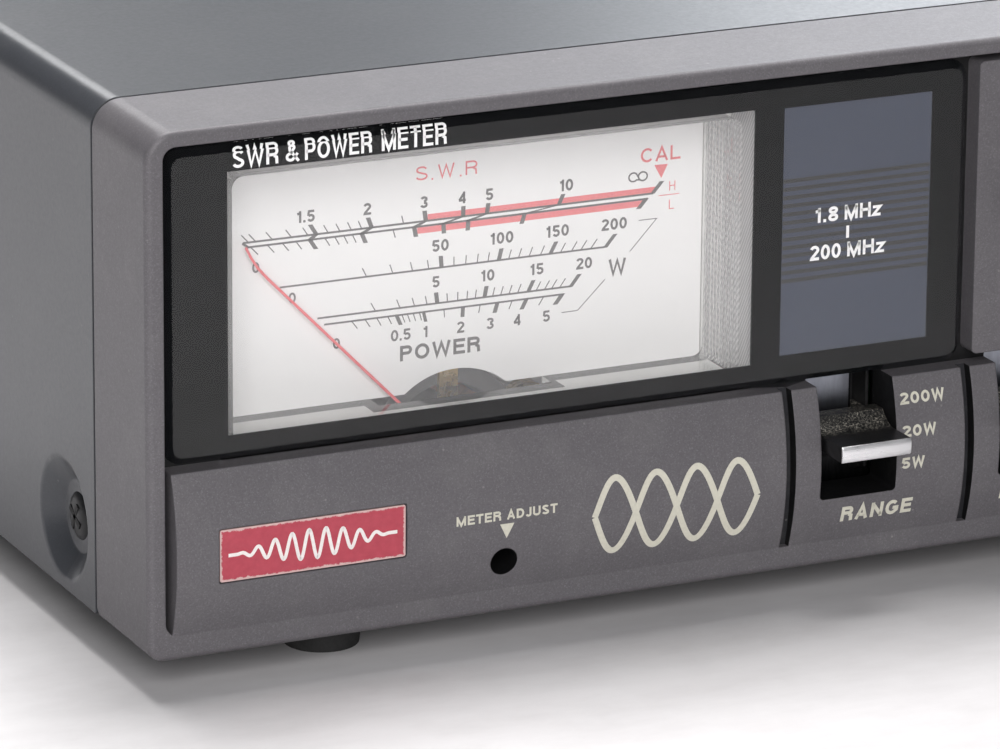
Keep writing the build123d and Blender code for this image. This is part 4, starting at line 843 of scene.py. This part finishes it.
# ------------------------------------------------------------------ threads on the coaxial sockets
def thread(name, sx, node):
    R, depth, pitch = 7.93, 0.42, 1.058
    y0, y1 = 104.2, 115.6
    seg = 72
    rows = int((y1 - y0) / pitch * 8)
    verts, faces = [], []
    for k in range(rows + 1):
        y = y0 + (y1 - y0) * k / rows
        fade = min(1.0, (y1 - y) / 0.9, (y - y0) / 0.5)
        for i in range(seg):
            a = 2 * math.pi * i / seg
            ph = ((y - y0) / pitch - i / seg) % 1.0
            h = abs(2 * ph - 1)
            rr = R - 0.10 * (1 - min(1.0, (y1 - y) / 0.6)) - depth * (1 - h) * max(0.0, fade) - (0.0 if fade > 0 else 0.0)
            if y1 - y < 0.5:
                rr -= (0.5 - (y1 - y)) * 0.7
            verts.append(D(sx + rr * math.cos(a), y, 31.0 + rr * math.sin(a)))
    for k in range(rows):
        for i in range(seg):
            j = (i + 1) % seg
            faces.append((k * seg + i, k * seg + j, (k + 1) * seg + j, (k + 1) * seg + i))
    # neck to the flange, rim and bore as turned rings
    def ring(r, y):
        s = len(verts)
        for i in range(seg):
            a = 2 * math.pi * i / seg
            verts.append(D(sx + r * math.cos(a), y, 31.0 + r * math.sin(a)))
        return s

    def join(s0, s1):
        for i in range(seg):
            j = (i + 1) % seg
            faces.append((s0 + i, s1 + i, s1 + j, s0 + j))

    first, last = 0, rows * seg
    n1 = ring(7.35, y0 - 0.15)
    n2 = ring(7.35, 103.5)
    join(n1, first)
    join(n2, n1)
    e0 = ring(7.15, 116.0)
    e1 = ring(6.15, 116.0)
    e2 = ring(5.82, 115.7)
    e3 = ring(5.82, 106.0)
    # notches in the rim
    for s in (e0, e1):
        for i in range(seg):
            if i % 18 in (8, 9, 10):
                verts[s + i] = verts[s + i] + Vector((0, -0.75 * MM, 0))
    join(last, e0)
    join(e0, e1)
    join(e1, e2)
    join(e2, e3)
    bm = bmesh.new()
    vs = [bm.verts.new(v) for v in verts]
    for f in faces:
        bm.faces.new([vs[i] for i in f])
    # flange
    box = bmesh.ops.create_cube(bm, size=1.0)["verts"]
    for v in box:
        v.co = D(sx - 12.7 + (v.co.x + 0.5) * 25.4, 102.0 + (v.co.y + 0.5) * 1.6, 18.3 + (v.co.z + 0.5) * 25.4)
    edges = {e for v in box for e in v.link_edges}
    up = [e for e in edges if abs(e.verts[0].co.y - e.verts[1].co.y) > 1e-6]
    res = bmesh.ops.bevel(bm, geom=up, offset=0.0010, segments=4, profile=0.5, affect="EDGES")
    face = [f for f in bm.faces if len(f.verts) > 8 and abs(f.calc_center_median().y - D(0, 103.6, 0)[1]) < 1e-6]
    rim = {e for f in face for e in f.edges}
    bmesh.ops.bevel(bm, geom=list(rim), offset=0.00018, segments=2, profile=0.5, affect="EDGES")
    bmesh.ops.recalc_face_normals(bm, faces=bm.faces)
    o = from_bm(name, bm, M["nickel"], "case", smooth=38)
    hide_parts(node)
    return o


thread("input_socket_body", 50.0, "input_socket")
thread("antenna_socket_body", 105.0, "antenna_socket")


# rear lettering, mirrored because it faces the back
def rear_print():
    p = Print()
    for s, x in (("INPUT", 50.0), ("ANT", 105.0)):
        p.text(s, 0, None, 47.5, 2.0, 0.19, gap=0.34, center=True)
        k = 0
    return p


def rear_text(name, s, x, z, h):
    p = Print()
    p.text(s, 0.0, None, 0.0, h, 0.19, gap=0.18 * h, center=True)
    bm = bmesh.new()
    vs = [bm.verts.new(D(x - q[0], 102.02, z + q[1])) for q in p.v]
    for f in p.f:
        try:
            bm.faces.new([vs[i] for i in reversed(f)])
        except ValueError:
            pass
    ret = bmesh.ops.extrude_face_region(bm, geom=list(bm.faces))
    for g_ in ret["geom"]:
        if isinstance(g_, bmesh.types.BMVert):
            g_.co.y += 0.03 * MM
    bmesh.ops.recalc_face_normals(bm, faces=bm.faces)
    return from_bm(name, bm, WHITE, "case", smooth=None)


rear_text("rear_print_input", "INPUT", 50.0, 47.4, 2.2)
rear_text("rear_print_antenna", "ANT", 105.0, 47.4, 2.2)
rear_text("rear_print_supply", "DC 12V", 26.5, 27.0, 1.8)

# ------------------------------------------------------------------ case screws: low round heads seated deep in the dimples
SCREWS = ((26.3, 9.65), (92.5, 9.65))


def case_screws():
    verts, faces, idx = [], [], []
    seg = 40
    for sgn, xs in ((1, 0.0), (-1, 155.0)):
        for dy, dz in SCREWS:
            prof = [(0.0, 1.32), (1.0, 1.36), (2.0, 1.50), (2.7, 1.78), (3.05, 2.15), (3.12, 2.55), (3.12, 3.0), (1.5, 3.0), (1.5, 7.0), (0.0, 7.2)]
            k0 = len(verts)
            for r_, d_ in prof:
                for i in range(seg):
                    a = 2 * math.pi * i / seg
                    verts.append(D(xs + sgn * d_, dy + r_ * math.cos(a), dz + r_ * math.sin(a)))
            for k in range(len(prof) - 1):
                for i in range(seg):
                    j = (i + 1) % seg
                    q = (k0 + k * seg + i, k0 + k * seg + j, k0 + (k + 1) * seg + j, k0 + (k + 1) * seg + i)
                    faces.append(q if sgn < 0 else tuple(reversed(q)))
                    idx.append(0)
            # a flat near-black cross standing on each head: painted shade in place of a cut cross recess
            for c, s_ in ((math.cos(0.5), math.sin(0.5)), (-math.sin(0.5), math.cos(0.5))):
                k = len(verts)
                for d_ in (1.30, 1.75):
                    for u, v in ((-1.75, -0.33), (1.75, -0.33), (1.75, 0.33), (-1.75, 0.33)):
                        verts.append(D(xs + sgn * d_, dy + u * c - v * s_, dz + u * s_ + v * c))
                faces.extend([(k, k + 1, k + 2, k + 3), (k + 4, k + 7, k + 6, k + 5)] + [(k + a, k + 4 + a, k + 4 + (a + 1) % 4, k + (a + 1) % 4) for a in range(4)])
                idx.extend([1] * 6)
    # near-black colour of the cross: painted shade of a recess
    painted_recess_shade = paint("screw_recess_painted_shade", (0.004, 0.004, 0.004), grain=0.1, rough=0.7)
    o = add_mesh("case_screw_heads", verts, faces, [M["screw_black"], painted_recess_shade], "case", smooth=40, face_mats=idx)
    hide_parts("cover_screws")


case_screws()

# ------------------------------------------------------------------ painted light on the meter's clear cover: its bottom and right walls are opaque and pale
side_m = Mat("cover_side_painted_light")
# diagonal pale and grey bands on the right wall: painted streaks of light refracted through the clear wall
wv = side_m.node("ShaderNodeTexWave", {"Vector": side_m.co, "Scale": 700.0, "Distortion": 0.6, "Detail": 1.0}, wave_type="BANDS", bands_direction="DIAGONAL").outputs["Fac"]
painted_streaks = side_m.mix(side_m.ramp(wv, 0.2, 0.8), (0.34, 0.34, 0.345), (0.58, 0.58, 0.575))
side_m.principled(Base_Color=painted_streaks, Roughness=0.5)
M["cover_side_painted_light"] = side_m.m
cov = nodes["meter_cover"]
cov.data.materials.append(M["meter_white"])
cov.data.materials.append(M["cover_side_painted_light"])
cmin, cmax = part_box("meter_cover")
# the bottom wall is painted white in place of the glow refracted through it from the white housing; the right wall gets
# the banded painted light
for poly in cov.data.polygons:
    c = poly.center
    if poly.normal.z < -0.9 and abs(c.z - D(0, 0, 22.8)[2]) < 0.0003:
        poly.material_index = 1
    if poly.normal.x > 0.9 and c.x > cmax[0] - 0.0004:
        poly.material_index = 2

# ------------------------------------------------------------------ dark inner faces of the front moulding
bez = nodes["front_bezel"]
bez.data.materials.append(M["bezel_bare"])
bez.data.materials.append(M["groove_floor"])


def near(v, lo, hi):
    return lo - 0.06 <= v <= hi + 0.06


for poly in bez.data.polygons:
    c = poly.center
    x, y, z = c[0] / MM + 77.5, c[1] / MM + 51.0, c[2] / MM - 4.5
    nx, ny, nz = poly.normal
    idx = 0
    for sx in (91.0, 115.3, 139.6):
        if near(x, sx - 5.1, sx + 5.1) and near(z, 8.7, 23.4) and y > strip_y(x, z) + 0.12 and ny > -0.5:
            idx = 1
    for gx in (81.25, 105.4, 129.55):
        if near(x, gx, gx + 1.25) and 3.2 < z < 22.9 and y > strip_y(x, z) + 0.10:
            idx = 1 if abs(nx) > 0.5 else 2
    if (y > 3.6 or (ny > 0.5 and y > 2.5)) and 1.2 < x < 153.8 and 1.2 < z < 61.8:
        idx = 1
    if math.hypot(x - 44.4, z - 6.7) < 1.9 and ny > -0.5 and abs(nx) + abs(nz) > 0.5 and y > strip_y(x, z) + 0.1:
        idx = 1
    if abs(ny + 1) < 0.2 and 2.8 < y < 3.2:
        idx = 1
    poly.material_index = idx

# ------------------------------------------------------------------ stage, light, camera
floor_m = Mat("floor")
n1 = floor_m.noise(9.0, 4.0, 0.6)
n2 = floor_m.noise(160.0, 4.0, 0.6)
n3 = floor_m.noise(70.0, 5.0, 0.62, floor_m.scaled(0.6, 1.6, 1.0))
fc = floor_m.mix(floor_m.ramp(n1, 0.3, 0.7), (0.62, 0.605, 0.61), (0.70, 0.69, 0.70))
fc = floor_m.mix(floor_m.ramp(n3, 0.40, 0.66, 0.0, 0.45), fc, (0.50, 0.485, 0.49))
fc = floor_m.mix(floor_m.ramp(n2, 0.45, 0.75, 0.0, 0.35), fc, (0.74, 0.73, 0.74))
# painted light: the floor is made lighter towards the left and darker towards the right, standing in for the uneven
# fall-off of the lamps
fc = floor_m.mix(floor_m.ramp(floor_m.xyz()["X"], -0.14, 0.10, 0.30, 0.0), fc, (0.86, 0.855, 0.86))
fc = floor_m.mix(floor_m.ramp(floor_m.xyz()["X"], -0.05, 0.13, 0.0, 0.75), fc, (0.34, 0.332, 0.336))
floor_m.principled(Base_Color=fc, Roughness=0.6, Normal=floor_m.bump(n2, 0.08, 0.0005))
me = bpy.data.meshes.new("floor")
me.from_pydata([(-4, -4, 0), (4, -4, 0), (4, 4, 0), (-4, 4, 0)], [], [(0, 1, 2, 3)])
me.materials.append(floor_m.m)
floor = bpy.data.objects.new("floor", me)
scene.collection.objects.link(floor)

world = bpy.data.worlds.new("studio")
world.use_nodes = True
wt = world.node_tree
bg = wt.nodes["Background"]
bg.inputs["Color"].default_value = (0.90, 0.94, 1.0, 1.0)
bg.inputs["Strength"].default_value = 0.12
scene.world = world


def area(name, loc, target, size, power, color=(1, 1, 1), size_y=None):
    l = bpy.data.lights.new(name, "AREA")
    l.shape = "RECTANGLE"
    l.size = size
    l.size_y = size_y or size
    l.energy = power
    l.color = color
    o = bpy.data.objects.new(name, l)
    scene.collection.objects.link(o)
    o.location = loc
    o.rotation_euler = (Vector(target) - Vector(loc)).to_track_quat("-Z", "Y").to_euler()
    return o


area("key_front", (-0.50, -1.38, 0.70), (0, -0.02, 0.03), 1.0, 20.5, (1.0, 0.985, 0.985))
area("overhead", (0.11, 0.32, 1.35), (0, 0, 0), 0.75, 29.0, (1.0, 0.985, 0.98))
area("back_right", (1.08, 1.12, 0.66), (0.02, 0, 0.06), 0.95, 9.5, (0.95, 0.99, 1.04), 0.55)
area("back_strip", (0.24, 1.28, 0.80), (0.0, 0, 0.06), 0.34, 3.4, (1.0, 1.0, 1.0), 0.22)

cam = bpy.data.cameras.new("camera")
cam.sensor_width = 36.0
cam.lens = 6586.7856 * 36.0 / 1000.0
cam.clip_start = 0.01
cam.clip_end = 50.0
co = bpy.data.objects.new("camera", cam)
scene.collection.objects.link(co)
right = Vector((0.9054402, -0.4243938, 0.0082395))
down = Vector((-0.120325, -0.2752305, -0.9538187))
ahead = Vector((0.4070625, 0.8626344, -0.30027))
rot = Matrix((right, -down, -ahead)).transposed()
co.matrix_world = Matrix.Translation(Vector((-267.1176 - 77.5, -659.6709 - 51.0, 258.9927 + 4.5)) * MM) @ rot.to_4x4()
scene.camera = co

scene.view_settings.view_transform = "Standard"
scene.view_settings.look = "None"
scene.cycles.use_denoising = True
scene.cycles.max_bounces = 14
scene.cycles.transmission_bounces = 14
scene.cycles.transparent_max_bounces = 16
scene.cycles.glossy_bounces = 6
scene.cycles.diffuse_bounces = 4
scene.cycles.caustics_reflective = False
scene.cycles.caustics_refractive = False
